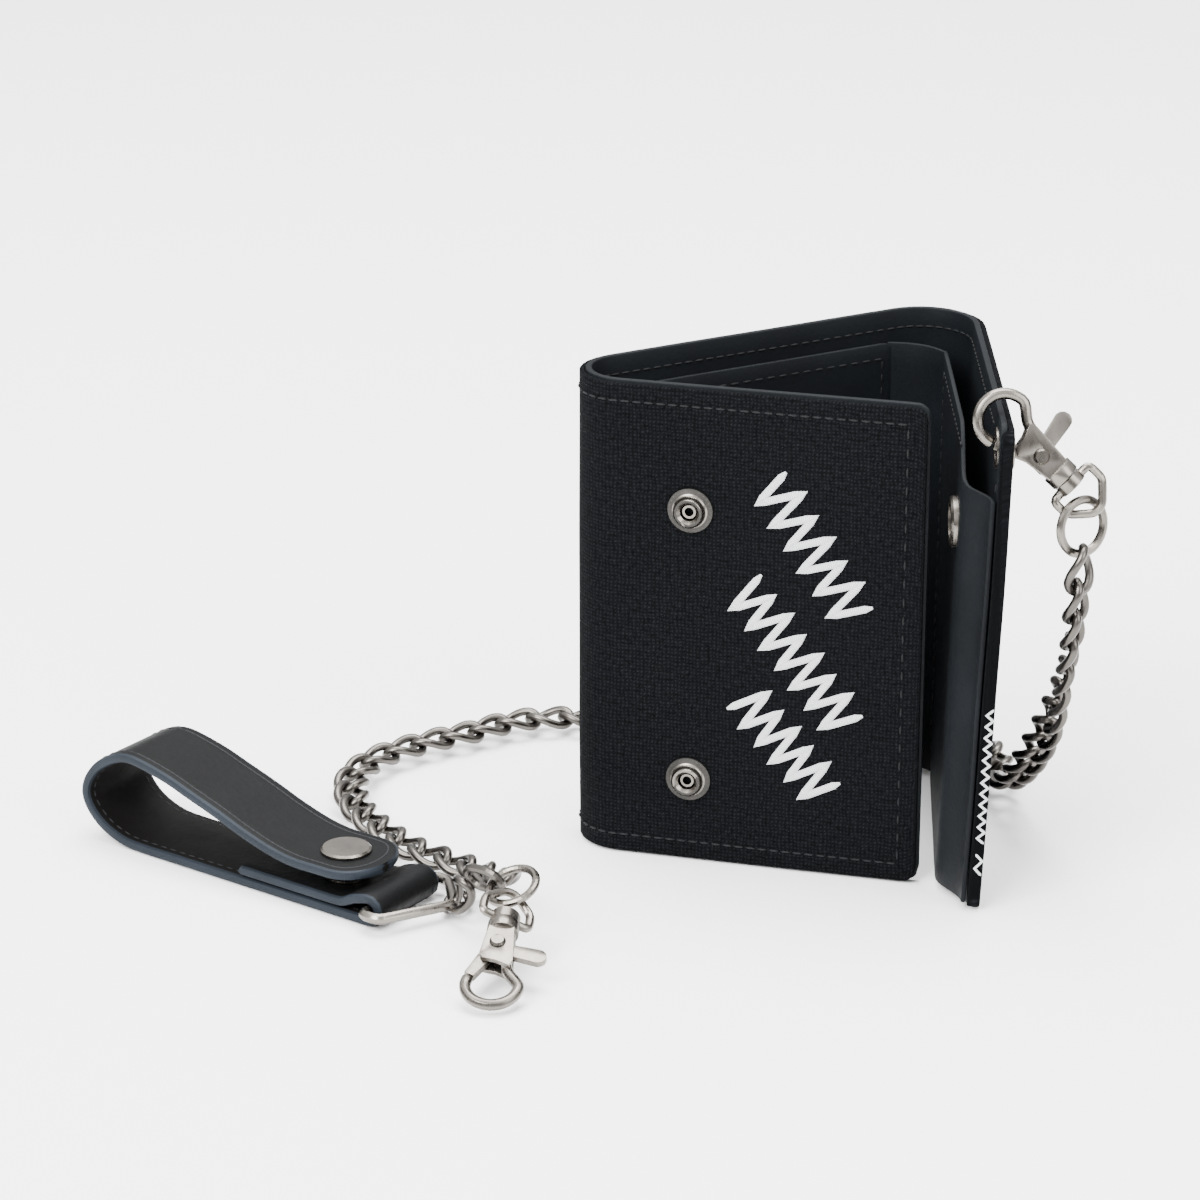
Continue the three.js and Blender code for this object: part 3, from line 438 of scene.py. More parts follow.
def wall_profile(low, high, thickness, edge, rows):
    """[height, depth] pairs round an upright sheet: outer face up, over the top, inner face down."""
    soft = 0.3 * edge
    pairs = []
    for step in range(rows + 1):
        pairs.append((low + edge + (high - low - 2 * edge) * step / rows, 0))
    pairs += [(high - soft, soft), (high, edge), (high, thickness - edge), (high - soft, thickness - soft)]
    for step in range(rows + 1):
        pairs.append((high - edge - (high - low - 2 * edge) * step / rows, thickness))
    pairs += [(low + soft, thickness - soft), (low, thickness - edge), (low, edge), (low + soft, soft)]
    return pairs


def rounded_cut(distance, radius):
    """How much a rounded corner takes off the height at a distance in from the end."""
    if distance >= radius:
        return 0.0
    return radius - math.sqrt(max(radius * radius - (radius - distance) ** 2, 0))


def ripple(place):
    """A slow unevenness for cloth and leather, in millimetres."""
    return UNEVENNESS * noise.noise(place * 28.0)


def strip_sheet(name, span, depth, thickness, levels, materials, corner, edge, ends, step=2.6):
    """A sheet that follows the strip over a span of it, between two levels of height.

    depth, thickness and the upper level are numbers or functions of the distance.
    ends says which ends are rounded.
    """
    start, end = span
    low, high = levels
    inset, thick, ceiling = (value if callable(value) else (lambda distance, fixed=value: fixed)
                             for value in (depth, thickness, high))
    count = max(2, round((end - start) / step))
    distances = [start + (end - start) * index / count for index in range(count + 1)]
    if "start" in ends:
        distances[1:1] = [start + edge, start + 0.25 * corner, start + 0.55 * corner, start + 0.6 * corner]
    if "end" in ends:
        distances[-1:-1] = [end - 0.6 * corner, end - 0.25 * corner, end - edge]
    distances = sorted(set(distances))
    sections = []
    for distance in distances:
        cut = 0.0
        slim = 0.0
        if "start" in ends:
            cut = rounded_cut(distance - start, corner)
            slim = 0.6 * edge if distance == distances[0] else 0.0
        if "end" in ends:
            cut = max(cut, rounded_cut(end - distance, corner))
            slim = 0.6 * edge if distance == distances[-1] else slim
        foot = low + cut + slim
        head = ceiling(distance) - cut - slim
        section = []
        for height, across in wall_profile(foot, head, thick(distance) - 2 * slim, edge - slim * 0.5, 26):
            wave = ripple(strip_point(distance, 0, height))
            section.append(strip_point(distance, inset(distance) + across + slim + wave, height))
        sections.append(section)
    return loft(name, sections, materials)


def smooth_line(points, per_span=8):
    """A smooth open line through given points."""
    line = []
    count = len(points)
    for index in range(count - 1):
        before = points[max(index - 1, 0)]
        here = points[index]
        there = points[index + 1]
        after = points[min(index + 2, count - 1)]
        first = here + (there - before) / 6
        second = there - (after - here) / 6
        line += interpolate_bezier(here, first, second, there, per_span + 1)[:-1]
    line.append(points[-1])
    return line


def walk(line):
    """Returns a function that gives the place and direction at a distance along a line, and its length."""
    reach = [0.0]
    for before, after in zip(line, line[1:]):
        reach.append(reach[-1] + (after - before).length)

    def place(distance):
        distance = min(max(distance, 0), reach[-1])
        index = 0
        while index < len(line) - 2 and reach[index + 1] < distance:
            index += 1
        span = reach[index + 1] - reach[index]
        share = (distance - reach[index]) / span if span else 0
        before = line[max(index - 1, 0)]
        after = line[min(index + 2, len(line) - 1)]
        return line[index].lerp(line[index + 1], share), (after - before).normalized()

    return place, reach[-1]


def scatter(name, template, places, materials):
    """Copies of a template at each matrix, as one piece."""
    merged = bmesh.new()
    for place in places:
        before = len(merged.verts)
        merged.from_mesh(template.data)
        merged.verts.ensure_lookup_table()
        for vert in merged.verts[before:]:
            vert.co = place @ vert.co
    mesh = bpy.data.meshes.new(name)
    merged.to_mesh(mesh)
    merged.free()
    piece = bpy.data.objects.new(name, mesh)
    bpy.context.collection.objects.link(piece)
    for material in materials:
        mesh.materials.append(material)
    for polygon in mesh.polygons:
        polygon.use_smooth = True
    return piece


def drop_template(template):
    bpy.data.objects.remove(template, do_unlink=True)


def basis(origin, along, up):
    """A frame with X along a direction and Z as near to up as it can be."""
    x = along.normalized()
    z = (up - x * up.dot(x)).normalized()
    y = z.cross(x)
    return Matrix((
        (x.x, y.x, z.x, origin.x),
        (x.y, y.y, z.y, origin.y),
        (x.z, y.z, z.z, origin.z),
        (0, 0, 0, 1),
    ))


def stitch_template():
    """One stitch, lying along X with its middle at the origin."""
    deselect()
    sizes = bpy.context.scene.wallet_sizes
    bpy.ops.mesh.primitive_uv_sphere_add(segments=8, ring_count=6, radius=0.5)
    stitch = bpy.context.object
    bpy.ops.object.mode_set(mode="EDIT")
    bpy.ops.mesh.select_all(action="SELECT")
    bpy.ops.transform.rotate(value=math.pi / 2, orient_axis="Y", center_override=(0, 0, 0))
    thread = sizes.thread_thickness
    bpy.ops.transform.resize(value=(sizes.stitch_length, thread, thread))
    bpy.ops.object.mode_set(mode="OBJECT")
    return stitch


def seam_places(corners, surface, normal):
    """Matrices of the stitches of a seam whose corners are in a sheet's own two measures."""
    sizes = bpy.context.scene.wallet_sizes
    pitch = sizes.stitch_pitch / MM
    places = []
    for start, end in zip(corners, corners[1:]):
        run = math.dist(start, end)
        if (math.dist(start, EYELET) + math.dist(end, EYELET)) / 2 < 9.5 and run > 7:
            continue
        count = max(1, round(run / pitch))
        for index in range(count):
            share = (index + 0.5) / count
            here = [a + (b - a) * share for a, b in zip(start, end)]
            ahead = [a + (b - a) * min(share + 0.2 / count, 1) for a, b in zip(start, end)]
            behind = [a + (b - a) * max(share - 0.2 / count, 0) for a, b in zip(start, end)]
            along = surface(*ahead) - surface(*behind)
            places.append(basis(surface(*here), along, normal(*here)))
    return places


def smooth_copy(node, material, body, bevel):
    """A merged, smooth copy of a CAD node, to stand for it."""
    source = frame["nodes"][node]
    mesh = source.data.copy()
    piece = bpy.data.objects.new(node + "_finished", mesh)
    bpy.context.collection.objects.link(piece)
    activate(piece)
    bpy.ops.object.mode_set(mode="EDIT")
    bpy.ops.mesh.select_all(action="SELECT")
    bpy.ops.mesh.remove_doubles(threshold=0.00002)
    bpy.ops.mesh.dissolve_limited(angle_limit=math.radians(1.0))
    bpy.ops.object.mode_set(mode="OBJECT")
    if bevel:
        modifier = piece.modifiers.new("soft_edges", "BEVEL")
        modifier.width = bevel * MM
        modifier.segments = 2
        modifier.limit_method = "ANGLE"
        modifier.angle_limit = math.radians(METAL_ANGLE)
        modifier.use_clamp_overlap = True
        bpy.ops.object.modifier_apply(modifier=modifier.name)
    bpy.ops.object.shade_smooth_by_angle(angle=math.radians(METAL_ANGLE))
    mesh = piece.data
    mesh.materials.clear()
    mesh.materials.append(material)
    deselect()
    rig.replaces(piece, node)
    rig.ride(piece, body)
    return piece


def left_bend():
    return "back", "front", at(3.6, 14.3, 0), at(5.9, -6, 0)


def right_bend():
    return "back", "cover", at(67.7, 48.4, 0), at(88.1, 36, 0)


# ---- finishes -------------------------------------------------------------------------


class Finish:
    """One material while its nodes are being added and linked."""

    def __init__(self, name):
        self.material = bpy.data.materials.new(name)
        self.material.use_nodes = True
        self.nodes = self.material.node_tree.nodes
        self.links = self.material.node_tree.links
        self.shader = self.nodes["Principled BSDF"]

    def add(self, kind, **settings):
        node = self.nodes.new(kind)
        for key, value in settings.items():
            setattr(node, key, value)
        return node

    def coordinates(self, output, scale=(1, 1, 1)):
        source = self.add("ShaderNodeTexCoord")
        mapping = self.add("ShaderNodeMapping")
        mapping.inputs["Scale"].default_value = scale
        self.links.new(source.outputs[output], mapping.inputs["Vector"])
        return mapping.outputs["Vector"]

    def noise(self, vector, scale, detail=4.0, roughness=0.55):
        node = self.add("ShaderNodeTexNoise")
        node.inputs["Scale"].default_value = scale
        node.inputs["Detail"].default_value = detail
        node.inputs["Roughness"].default_value = roughness
        self.links.new(vector, node.inputs["Vector"])
        return node.outputs["Fac"]

    def ramp(self, value, stops):
        node = self.add("ShaderNodeValToRGB")
        elements = node.color_ramp.elements
        while len(elements) < len(stops):
            elements.new(0.5)
        for element, (position, colour) in zip(elements, stops):
            element.position = position
            element.color = (*colour, 1.0)
        self.links.new(value, node.inputs["Fac"])
        return node.outputs["Color"]

    def spread(self, value, low, high):
        node = self.add("ShaderNodeMapRange")
        node.inputs["To Min"].default_value = low
        node.inputs["To Max"].default_value = high
        self.links.new(value, node.inputs["Value"])
        return node.outputs["Result"]

    def combine(self, operation, first, second):
        node = self.add("ShaderNodeMath", operation=operation)
        self.links.new(first, node.inputs[0])
        if isinstance(second, float):
            node.inputs[1].default_value = second
        else:
            self.links.new(second, node.inputs[1])
        return node.outputs["Value"]

    def bump(self, height, strength, distance):
        node = self.add("ShaderNodeBump")
        node.inputs["Strength"].default_value = strength
        node.inputs["Distance"].default_value = distance
        self.links.new(height, node.inputs["Height"])
        self.links.new(node.outputs["Normal"], self.shader.inputs["Normal"])


def shade(colour, factor):
    return tuple(min(channel * factor, 1.0) for channel in colour)


def canvas_finish():
    """Plain weave, with slubs and a slight fading."""
    finish = Finish("black_canvas")
    colour = tuple(bpy.context.scene.wallet_colours.canvas)
    pitch = bpy.context.scene.wallet_sizes.weave_pitch
    cloth = finish.coordinates("UV")
    waves = []
    for direction in ("X", "Y"):
        wave = finish.add("ShaderNodeTexWave", wave_type="BANDS", bands_direction=direction)
        wave.inputs["Scale"].default_value = 0.314 / pitch
        wave.inputs["Distortion"].default_value = 4.5
        wave.inputs["Detail"].default_value = 3.0
        wave.inputs["Detail Scale"].default_value = 0.9
        finish.links.new(cloth, wave.inputs["Vector"])
        waves.append(wave.outputs["Fac"])
    weave = finish.combine("MULTIPLY", finish.combine("MULTIPLY", *waves), 0.42)
    slubs = finish.combine("MULTIPLY", finish.noise(cloth, 900.0, 3.0), 0.8)
    patches = finish.combine("MULTIPLY", finish.noise(cloth, 34.0, 3.0), 0.1)
    mixed = finish.combine("ADD", finish.combine("ADD", weave, slubs), patches)
    tint = finish.ramp(mixed, ((0.3, shade(colour, 0.35)), (0.62, colour), (1.0, shade(colour, 2.6))))
    finish.links.new(tint, finish.shader.inputs["Base Color"])
    finish.shader.inputs["Roughness"].default_value = 0.93
    finish.shader.inputs["Specular IOR Level"].default_value = 0.03
    finish.bump(mixed, 0.9, 0.0004)
    return finish.material


def leather_finish(name, colour, roughness, grain, strength):
    """Smooth leather with pores, faint creases and worn, glossier patches."""
    finish = Finish(name)
    hide = finish.coordinates("Object")
    pores = finish.add("ShaderNodeTexVoronoi", feature="F1")
    pores.inputs["Scale"].default_value = grain
    finish.links.new(hide, pores.inputs["Vector"])
    creases = finish.noise(hide, 240.0, 6.0, 0.65)
    patches = finish.noise(hide, 45.0, 3.0)
    height = finish.combine("ADD", finish.combine("MULTIPLY", pores.outputs["Distance"], 0.5), creases)
    tint = finish.ramp(patches, ((0.3, shade(colour, 0.7)), (0.6, colour), (0.85, shade(colour, 1.5))))
    finish.links.new(tint, finish.shader.inputs["Base Color"])
    gloss = finish.spread(creases, roughness - 0.08, roughness + 0.12)
    finish.links.new(gloss, finish.shader.inputs["Roughness"])
    finish.shader.inputs["Specular IOR Level"].default_value = 0.09
    finish.bump(height, strength, 0.00015)
    return finish.material


def metal_finish(name, colour, roughness):
    """Plated metal with fine rubbing marks and a patchy tarnish that makes it darker and lighter in random places."""
    finish = Finish(name)
    metal = finish.coordinates("Object", (1, 1, 0.25))
    scratches = finish.noise(metal, 620.0, 4.0, 0.6)
    tarnish = finish.noise(metal, 180.0, 3.0)
    tint = finish.ramp(tarnish, ((0.25, shade(colour, 0.72)), (0.55, colour), (0.9, shade(colour, 1.12))))
    finish.links.new(tint, finish.shader.inputs["Base Color"])
    finish.shader.inputs["Metallic"].default_value = 1.0
    gloss = finish.spread(scratches, roughness - 0.06, roughness + 0.14)
    finish.links.new(gloss, finish.shader.inputs["Roughness"])
    finish.bump(scratches, 0.025, 0.00006)
    return finish.material


def thread_finish(name, colour):
    """Twisted thread: fine uneven ribs."""
    finish = Finish(name)
    ribs = finish.noise(finish.coordinates("Object"), 1500.0, 3.0, 0.6)
    tint = finish.ramp(ribs, ((0.3, shade(colour, 0.6)), (0.7, colour)))
    finish.links.new(tint, finish.shader.inputs["Base Color"])
    finish.shader.inputs["Roughness"].default_value = 0.7
    finish.shader.inputs["Specular IOR Level"].default_value = 0.2
    finish.bump(ribs, 0.5, 0.0002)
    return finish.material


def satin_finish():
    """Satin stitch: thread laid side by side across a stroke."""
    finish = Finish("white_satin_stitch")
    colour = tuple(bpy.context.scene.wallet_colours.embroidery)
    stroke = finish.coordinates("UV")
    laid = finish.add("ShaderNodeTexWave", wave_type="BANDS", bands_direction="X")
    laid.inputs["Scale"].default_value = 0.314 / 0.00045
    laid.inputs["Distortion"].default_value = 0.8
    finish.links.new(stroke, laid.inputs["Vector"])
    tint = finish.ramp(laid.outputs["Fac"], ((0.0, shade(colour, 0.62)), (0.6, colour)))
    finish.links.new(tint, finish.shader.inputs["Base Color"])
    finish.shader.inputs["Roughness"].default_value = 0.55
    finish.shader.inputs["Sheen Weight"].default_value = 0.4
    finish.bump(laid.outputs["Fac"], 0.6, 0.0002)
    return finish.material


FINISHES = {}


def finish(name):
    """The named finish, made the first time it is asked for."""
    if name not in FINISHES:
        colours = bpy.context.scene.wallet_colours
        leathers = {
            "lining": ("lining_leather", colours.lining, 0.55, 1000.0, 0.3),
            "edge": ("painted_edge", colours.edge_paint, 0.5, 700.0, 0.15),
            "strap": ("strap_leather", colours.strap, 0.5, 700.0, 0.6),
            "strap_inside": ("strap_inside", colours.strap_inside, 0.62, 700.0, 0.5),
        }
        metals = {
            "nickel": ("worn_nickel", colours.nickel, 0.24),
            "chain": ("dark_nickel", colours.chain, 0.26),
            # this metal is painted shade: the shadowed colour of the snaps' hollows, also laid on the studs' low
            # flanges
            "recess": ("dark_recess", colours.recess, 0.5),
        }
        threads = {
            "thread": ("charcoal_thread", colours.thread),
            "strap_thread": ("strap_thread", colours.strap_thread),
        }
        if name in leathers:
            FINISHES[name] = leather_finish(*leathers[name])
        elif name in metals:
            FINISHES[name] = metal_finish(*metals[name])
        elif name in threads:
            FINISHES[name] = thread_finish(*threads[name])
        else:
            FINISHES[name] = {"canvas": canvas_finish, "satin": satin_finish}[name]()
    return FINISHES[name]


# ---- sizes and colours ----------------------------------------------------------------


class WalletSizes(bpy.types.PropertyGroup):
    stitch_pitch: bpy.props.FloatProperty(
        name="Stitch pitch",
        description="From one stitch to the next",
        default=0.0031, unit="LENGTH",
    )
    stitch_length: bpy.props.FloatProperty(
        name="Stitch length",
        description="Length of thread that shows",
        default=0.0021, unit="LENGTH",
    )
    thread_thickness: bpy.props.FloatProperty(
        name="Thread",
        description="Thickness of the sewing thread",
        default=0.00052, unit="LENGTH",
    )
    weave_pitch: bpy.props.FloatProperty(
        name="Weave pitch",
        description="Distance between the canvas's threads",
        default=0.00085, unit="LENGTH",
    )
    cover_lean: bpy.props.FloatProperty(
        name="Cover lean",
        description="How far the cover's foot leans in at its edge",
        default=0.004, unit="LENGTH",
    )
    link_length: bpy.props.FloatProperty(
        name="Link length",
        description="Outer length of a curb link",
        default=0.0120, unit="LENGTH",
    )
    link_width: bpy.props.FloatProperty(
        name="Link width",
        description="Outer width of a curb link",
        default=0.0084, unit="LENGTH",
    )
    link_wire: bpy.props.FloatProperty(
        name="Link wire",
        description="Thickness of a link's wire",
        default=0.00205, unit="LENGTH",
    )
    chain_diameter: bpy.props.FloatProperty(
        name="Chain width",
        description="Width of the chain over its links",
        default=0.0076, unit="LENGTH",
    )


class WalletColours(bpy.types.PropertyGroup):
    canvas: bpy.props.FloatVectorProperty(
        name="Canvas",
        description="Outer cloth",
        subtype="COLOR", size=3, default=(0.0036, 0.0039, 0.0046),
    )
    lining: bpy.props.FloatVectorProperty(
        name="Lining",
        description="Leather inside the wallet",
        subtype="COLOR", size=3, default=(0.0044, 0.0054, 0.0068),
    )
    strap: bpy.props.FloatVectorProperty(
        name="Strap",
        description="Outer side of the belt strap",
        subtype="COLOR", size=3, default=(0.0026, 0.0028, 0.0031),
    )
    strap_inside: bpy.props.FloatVectorProperty(
        name="Strap inside",
        description="Inner side of the strap",
        subtype="COLOR", size=3, default=(0.0034, 0.003, 0.0028),
    )
    edge_paint: bpy.props.FloatVectorProperty(
        name="Edge paint",
        description="Painted leather edges",
        subtype="COLOR", size=3, default=(0.0145, 0.0185, 0.0245),
    )
    nickel: bpy.props.FloatVectorProperty(
        name="Nickel",
        description="Clips, rings and snaps",
        subtype="COLOR", size=3, default=(0.175, 0.160, 0.142),
    )
    chain: bpy.props.FloatVectorProperty(
        name="Chain",
        description="Curb links",
        subtype="COLOR", size=3, default=(0.095, 0.087, 0.079),
    )
    # Painted shade: the colour of the snaps' shadowed hollows, also laid on the studs' low flanges.
    recess: bpy.props.FloatVectorProperty(
        name="Recess",
        description="Shadowed metal inside the snaps",
        subtype="COLOR", size=3, default=(0.05, 0.048, 0.045),
    )
    thread: bpy.props.FloatVectorProperty(
        name="Thread",
        description="Sewing thread of the wallet",
        subtype="COLOR", size=3, default=(0.0047, 0.0053, 0.0062),
    )
    strap_thread: bpy.props.FloatVectorProperty(
        name="Strap thread",
        description="Sewing thread of the strap",
        subtype="COLOR", size=3, default=(0.012, 0.013, 0.015),
    )
    embroidery: bpy.props.FloatVectorProperty(
        name="Embroidery",
        description="Thread of the stitched marks",
        subtype="COLOR", size=3, default=(0.62, 0.63, 0.65),
    )


# ---- pieces ---------------------------------------------------------------------------


def curb_link():
    """One link of a curb chain along X: an oval of wire, twisted so that the chain lies flat."""
    sizes = bpy.context.scene.wallet_sizes
    wire = sizes.link_wire / 2
    half_length = sizes.link_length / 2 - wire
    half_width = sizes.link_width / 2 - wire
    twist = math.radians(40)
    deselect()
    bpy.ops.mesh.primitive_torus_add(
        major_segments=30, minor_segments=10, major_radius=1, minor_radius=0.25)
    link = bpy.context.object
    for vert in link.data.vertices:
        angle = math.atan2(vert.co.y, vert.co.x)
        out = (math.hypot(vert.co.x, vert.co.y) - 1) / 0.25 * wire
        lift = vert.co.z / 0.25 * wire
        centre = Vector((half_length * math.cos(angle), half_width * math.sin(angle), 0))
        outward = Vector((half_width * math.cos(angle), half_length * math.sin(angle), 0)).normalized()
        turn = Matrix.Rotation(twist * centre.x / half_length, 3, "X")
        vert.co = turn @ (centre + outward * out + Vector((0, 0, lift)))
    return link


def chain_part(name, points, first_up, last_up):
    """Curb links along a route. The flat of the chain turns from first_up to last_up."""
    sizes = bpy.context.scene.wallet_sizes
    route = smooth_line([at(*point) for point in points], 10)
    place, length = walk(route)
    pitch = sizes.link_length - 2 * sizes.link_wire
    count = round(length / pitch)
    pitch = length / count
    template = curb_link()
    places = []
    for index in range(count):
        middle, along = place((index + 0.5) * pitch)
        share = min(max(((index + 0.5) / count) * 1.6, 0), 1)
        places.append(basis(middle, along, first_up.lerp(last_up, share)))
    chain = scatter(name, template, places, [finish("chain")])
    drop_template(template)
    path = [place(length * step / 200)[0] for step in range(201)]
    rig.slot(chain, "chain_metal")
    return chain, path, length


FLOOR_SIZE = 12
CAMERA_LENS = 128.6
CAMERA_PLACE = (2.2, -876.9, 394.2)
CAMERA_TILT = 69


class WALLET_OT_stage(bpy.types.Operator):
    """Adds the floor, the lights and the camera"""

    bl_idname = "wallet.stage"
    bl_label = "Stage"

    def execute(self, context):
        deselect()
        bpy.ops.mesh.primitive_plane_add(size=1)
        floor = context.object
        floor.name = "floor"
        bpy.ops.object.mode_set(mode="EDIT")
        bpy.ops.transform.resize(value=(FLOOR_SIZE, FLOOR_SIZE, 1))
        bpy.ops.transform.translate(value=(0, FLOOR_SIZE / 4, -0.0002))
        bpy.ops.object.mode_set(mode="OBJECT")
        paper = Finish("white_paper")
        paper.shader.inputs["Base Color"].default_value = (0.93, 0.93, 0.93, 1)
        paper.shader.inputs["Roughness"].default_value = 0.9
        floor.data.materials.append(paper.material)
        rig.stage(floor)

        world = bpy.data.worlds.new("studio")
        context.scene.world = world
        world.use_nodes = True
        sky = world.node_tree.nodes
        direction = sky.new("ShaderNodeTexCoord")
        split = sky.new("ShaderNodeSeparateXYZ")
        falloff = sky.new("ShaderNodeValToRGB")
        falloff.color_ramp.elements[0].position = 0.12
        falloff.color_ramp.elements[0].color = (0.1, 0.1, 0.105, 1)
        falloff.color_ramp.elements[1].position = 0.5
        falloff.color_ramp.elements[1].color = (1, 1, 1, 1)
        world.node_tree.links.new(direction.outputs["Generated"], split.inputs["Vector"])
        world.node_tree.links.new(split.outputs["Z"], falloff.inputs["Fac"])
        world.node_tree.links.new(falloff.outputs["Color"], sky["Background"].inputs["Color"])
        sky["Background"].inputs["Strength"].default_value = 2.1
        lamps = (
            ("key", (-0.75, -0.9, 1.15), (0.9, 0.9), 60),
            ("fill", (0.95, -0.75, 0.75), (0.7, 0.9), 16),
            ("top", (0.05, 0.25, 1.4), (1.2, 0.9), 55),
        )
        for name, position, size, power in lamps:
            light = bpy.data.lights.new(name, "AREA")
            light.shape = "RECTANGLE"
            light.size, light.size_y = size
            light.energy = power
            lamp = bpy.data.objects.new(name, light)
            context.collection.objects.link(lamp)
            lamp.location = position
            aim = Vector((0, 0, 0.05)) - lamp.location
            lamp.rotation_euler = aim.to_track_quat("-Z", "Y").to_euler()

        camera = bpy.data.cameras.new("view")
        camera.lens = CAMERA_LENS
        camera.sensor_width = 36
        camera.clip_end = 20
        holder = bpy.data.objects.new("view", camera)
        context.collection.objects.link(holder)
        holder.location = at(*CAMERA_PLACE)
        holder.rotation_euler = (math.radians(CAMERA_TILT), 0, 0)
        context.scene.camera = holder
        return {"FINISHED"}


def bridge_links():
    """Two links that join the chain's end to the point of the strap's triangle ring."""
    template = curb_link()
    apex = at(-29.1, -40.4, 3.1)
    ring_side = at(-26.2, -46.4, 10.4)
    places = [
        basis(apex.lerp(ring_side, 0.5), ring_side - apex, Vector((1, 0.2, 0.1))),
        basis(apex + Vector((0.0004, 0.0028, -0.0008)), Vector((0.5, 1, 0.1)), Vector((0, 0, 1))),
    ]
    places[1] = places[1] @ Matrix.Scale(0.72, 4)
    bridge = scatter("link_bridge", template, places, [finish("chain")])
    drop_template(template)
    return bridge


class WALLET_OT_chain(bpy.types.Operator):
    """Models the curb chain in two parts: one that hangs from the clip, and one that lies on the floor"""

    bl_idname = "wallet.chain"
    bl_label = "Curb Chain"

    def execute(self, context):
        diameter = context.scene.wallet_sizes.chain_diameter
        front = Vector((0.75, -0.6, 0.25)).normalized()
        up = Vector((0, 0, 1))
        hanging, path, length = chain_part("chain_hanging_links", CHAIN_ROUTE[:HANGING_POINTS], front, up)
        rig.replaces(hanging, "chain_hanging")
        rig.blend(hanging, "cover", "back", at(102, -20, 30), at(94, 34, 4))
        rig.cord(hanging, exit=path[0], length=length, diameter=diameter, far_end="object",
                stiffness="limp", lay="hanging", path=path)
        bridge = bridge_links()
        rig.ride(bridge, "back")
        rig.slot(bridge, "chain_metal")
        lying, path, length = chain_part("chain_lying_links", CHAIN_ROUTE[HANGING_POINTS - 1:], up, up)
        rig.replaces(lying, "chain_lying")
        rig.ride(lying, "back")
        fittings = [frame["nodes"][name] for name in ("ring_lower", "link_ring_side")]
        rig.cord(lying, exit=path[0], length=length, diameter=diameter, far_end="fitting",
                stiffness="limp", lay="loose", path=path, with_pieces=fittings)
        return {"FINISHED"}


def cover_canvas_thickness(distance):
    """The canvas is turned over the cover's free edge."""
    return SHELL if distance < 1.5 else CANVAS


class WALLET_OT_shell(bpy.types.Operator):
    """Models the folded canvas and its leather lining"""

    bl_idname = "wallet.shell"
    bl_label = "Canvas and Lining"

    def execute(self, context):
        sides = (
            ("right", "start", right_bend(), ("cover", "right_fold")),
            ("left", "end", left_bend(), ("back", "left_fold", "front")),
        )
        canvas_top = HEIGHT - 0.6
        shapes = {
            "canvas_right": ((0, BACK_MIDDLE), 0, cover_canvas_thickness, (0, canvas_top)),
            "canvas_left": ((BACK_MIDDLE, STRIP_LENGTH - 0.5), 0, CANVAS, (0.4, canvas_top)),
            "lining_right": ((1.6, BACK_MIDDLE), LINING_DEPTH, LINING, (0, HEIGHT)),
            "lining_left": ((BACK_MIDDLE, STRIP_LENGTH), LINING_DEPTH, LINING, (0, HEIGHT)),
        }
        stuffs = (("canvas", "canvas", 2.8, 0.35), ("lining", "lining_leather", 3.2, 0.5))
        for stuff, slot, corner, edge in stuffs:
            for side, rounded, bend, nodes in sides:
                name = f"{stuff}_{side}"
                piece = strip_sheet(name, *shapes[name], [finish(stuff)], corner, edge, (rounded,))
                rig.replaces(piece, *[f"{node}_{stuff}" for node in nodes])
                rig.blend(piece, *bend)
                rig.slot(piece, slot)
        return {"FINISHED"}


def cover_divider_depth(distance):
    share = min(max((distance - 1.5) / 12.5, 0), 1)
    return SHELL + 0.3 + 5.2 * share * share * (3 - 2 * share)


def cover_divider_top(distance):
    """The cover's divider stays below the eyelet and rises towards the fold."""
    share = min(max((distance - 10) / 16, 0), 1)
    return 93.5 + 10 * share * share * (3 - 2 * share)


class WALLET_OT_leaves(bpy.types.Operator):
    """Models the leather leaves inside the wallet: dividers and card pockets"""

    bl_idname = "wallet.leaves"
    bl_label = "Dividers and Pockets"

    def execute(self, context):
        leather = [finish("lining")]
        both = ("start", "end")
        levels = (DIVIDER_FOOT, DIVIDER_TOP)
        span = (DIVIDER_START, DIVIDER_END)
        divider = strip_sheet("divider_leaf", span, DIVIDER_DEPTH, LEAF, levels, leather, 2, 0.3, both)
        leaves = [(divider, "back_divider")]
        span = (DIVIDER_START + 3, DIVIDER_END - 2)
        for index in range(3):
            name = f"pocket_leaf_{index + 1}"
            depth = DIVIDER_DEPTH + POCKET_SPACING * (index + 1)
            levels = (1.8, POCKET_TOP - POCKET_STEP * index)
            pocket = strip_sheet(name, span, depth, LEAF, levels, leather, 1.5, 0.3, both)
            leaves.append((pocket, f"card_pocket_{index + 1}"))
        for leaf, node in leaves:
            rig.replaces(leaf, node)
            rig.ride(leaf, "back")
            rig.slot(leaf, "lining_leather")
        levels = (DIVIDER_FOOT, cover_divider_top)
        span = (1, COVER_LENGTH - 1)
        cover = strip_sheet(
            "cover_leaf", span, cover_divider_depth, LEAF, levels, leather, 0.6, 0.3, both, 1.5)
        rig.replaces(cover, "cover_divider")
        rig.ride(cover, "cover")
        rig.slot(cover, "lining_leather")
        fold = fold_leaf(leather)
        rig.replaces(fold, "fold_divider")
        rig.blend(fold, "back", "cover", at(70, 40, 0), at(80, 36, 0))
        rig.slot(fold, "lining_leather")
        return {"FINISHED"}


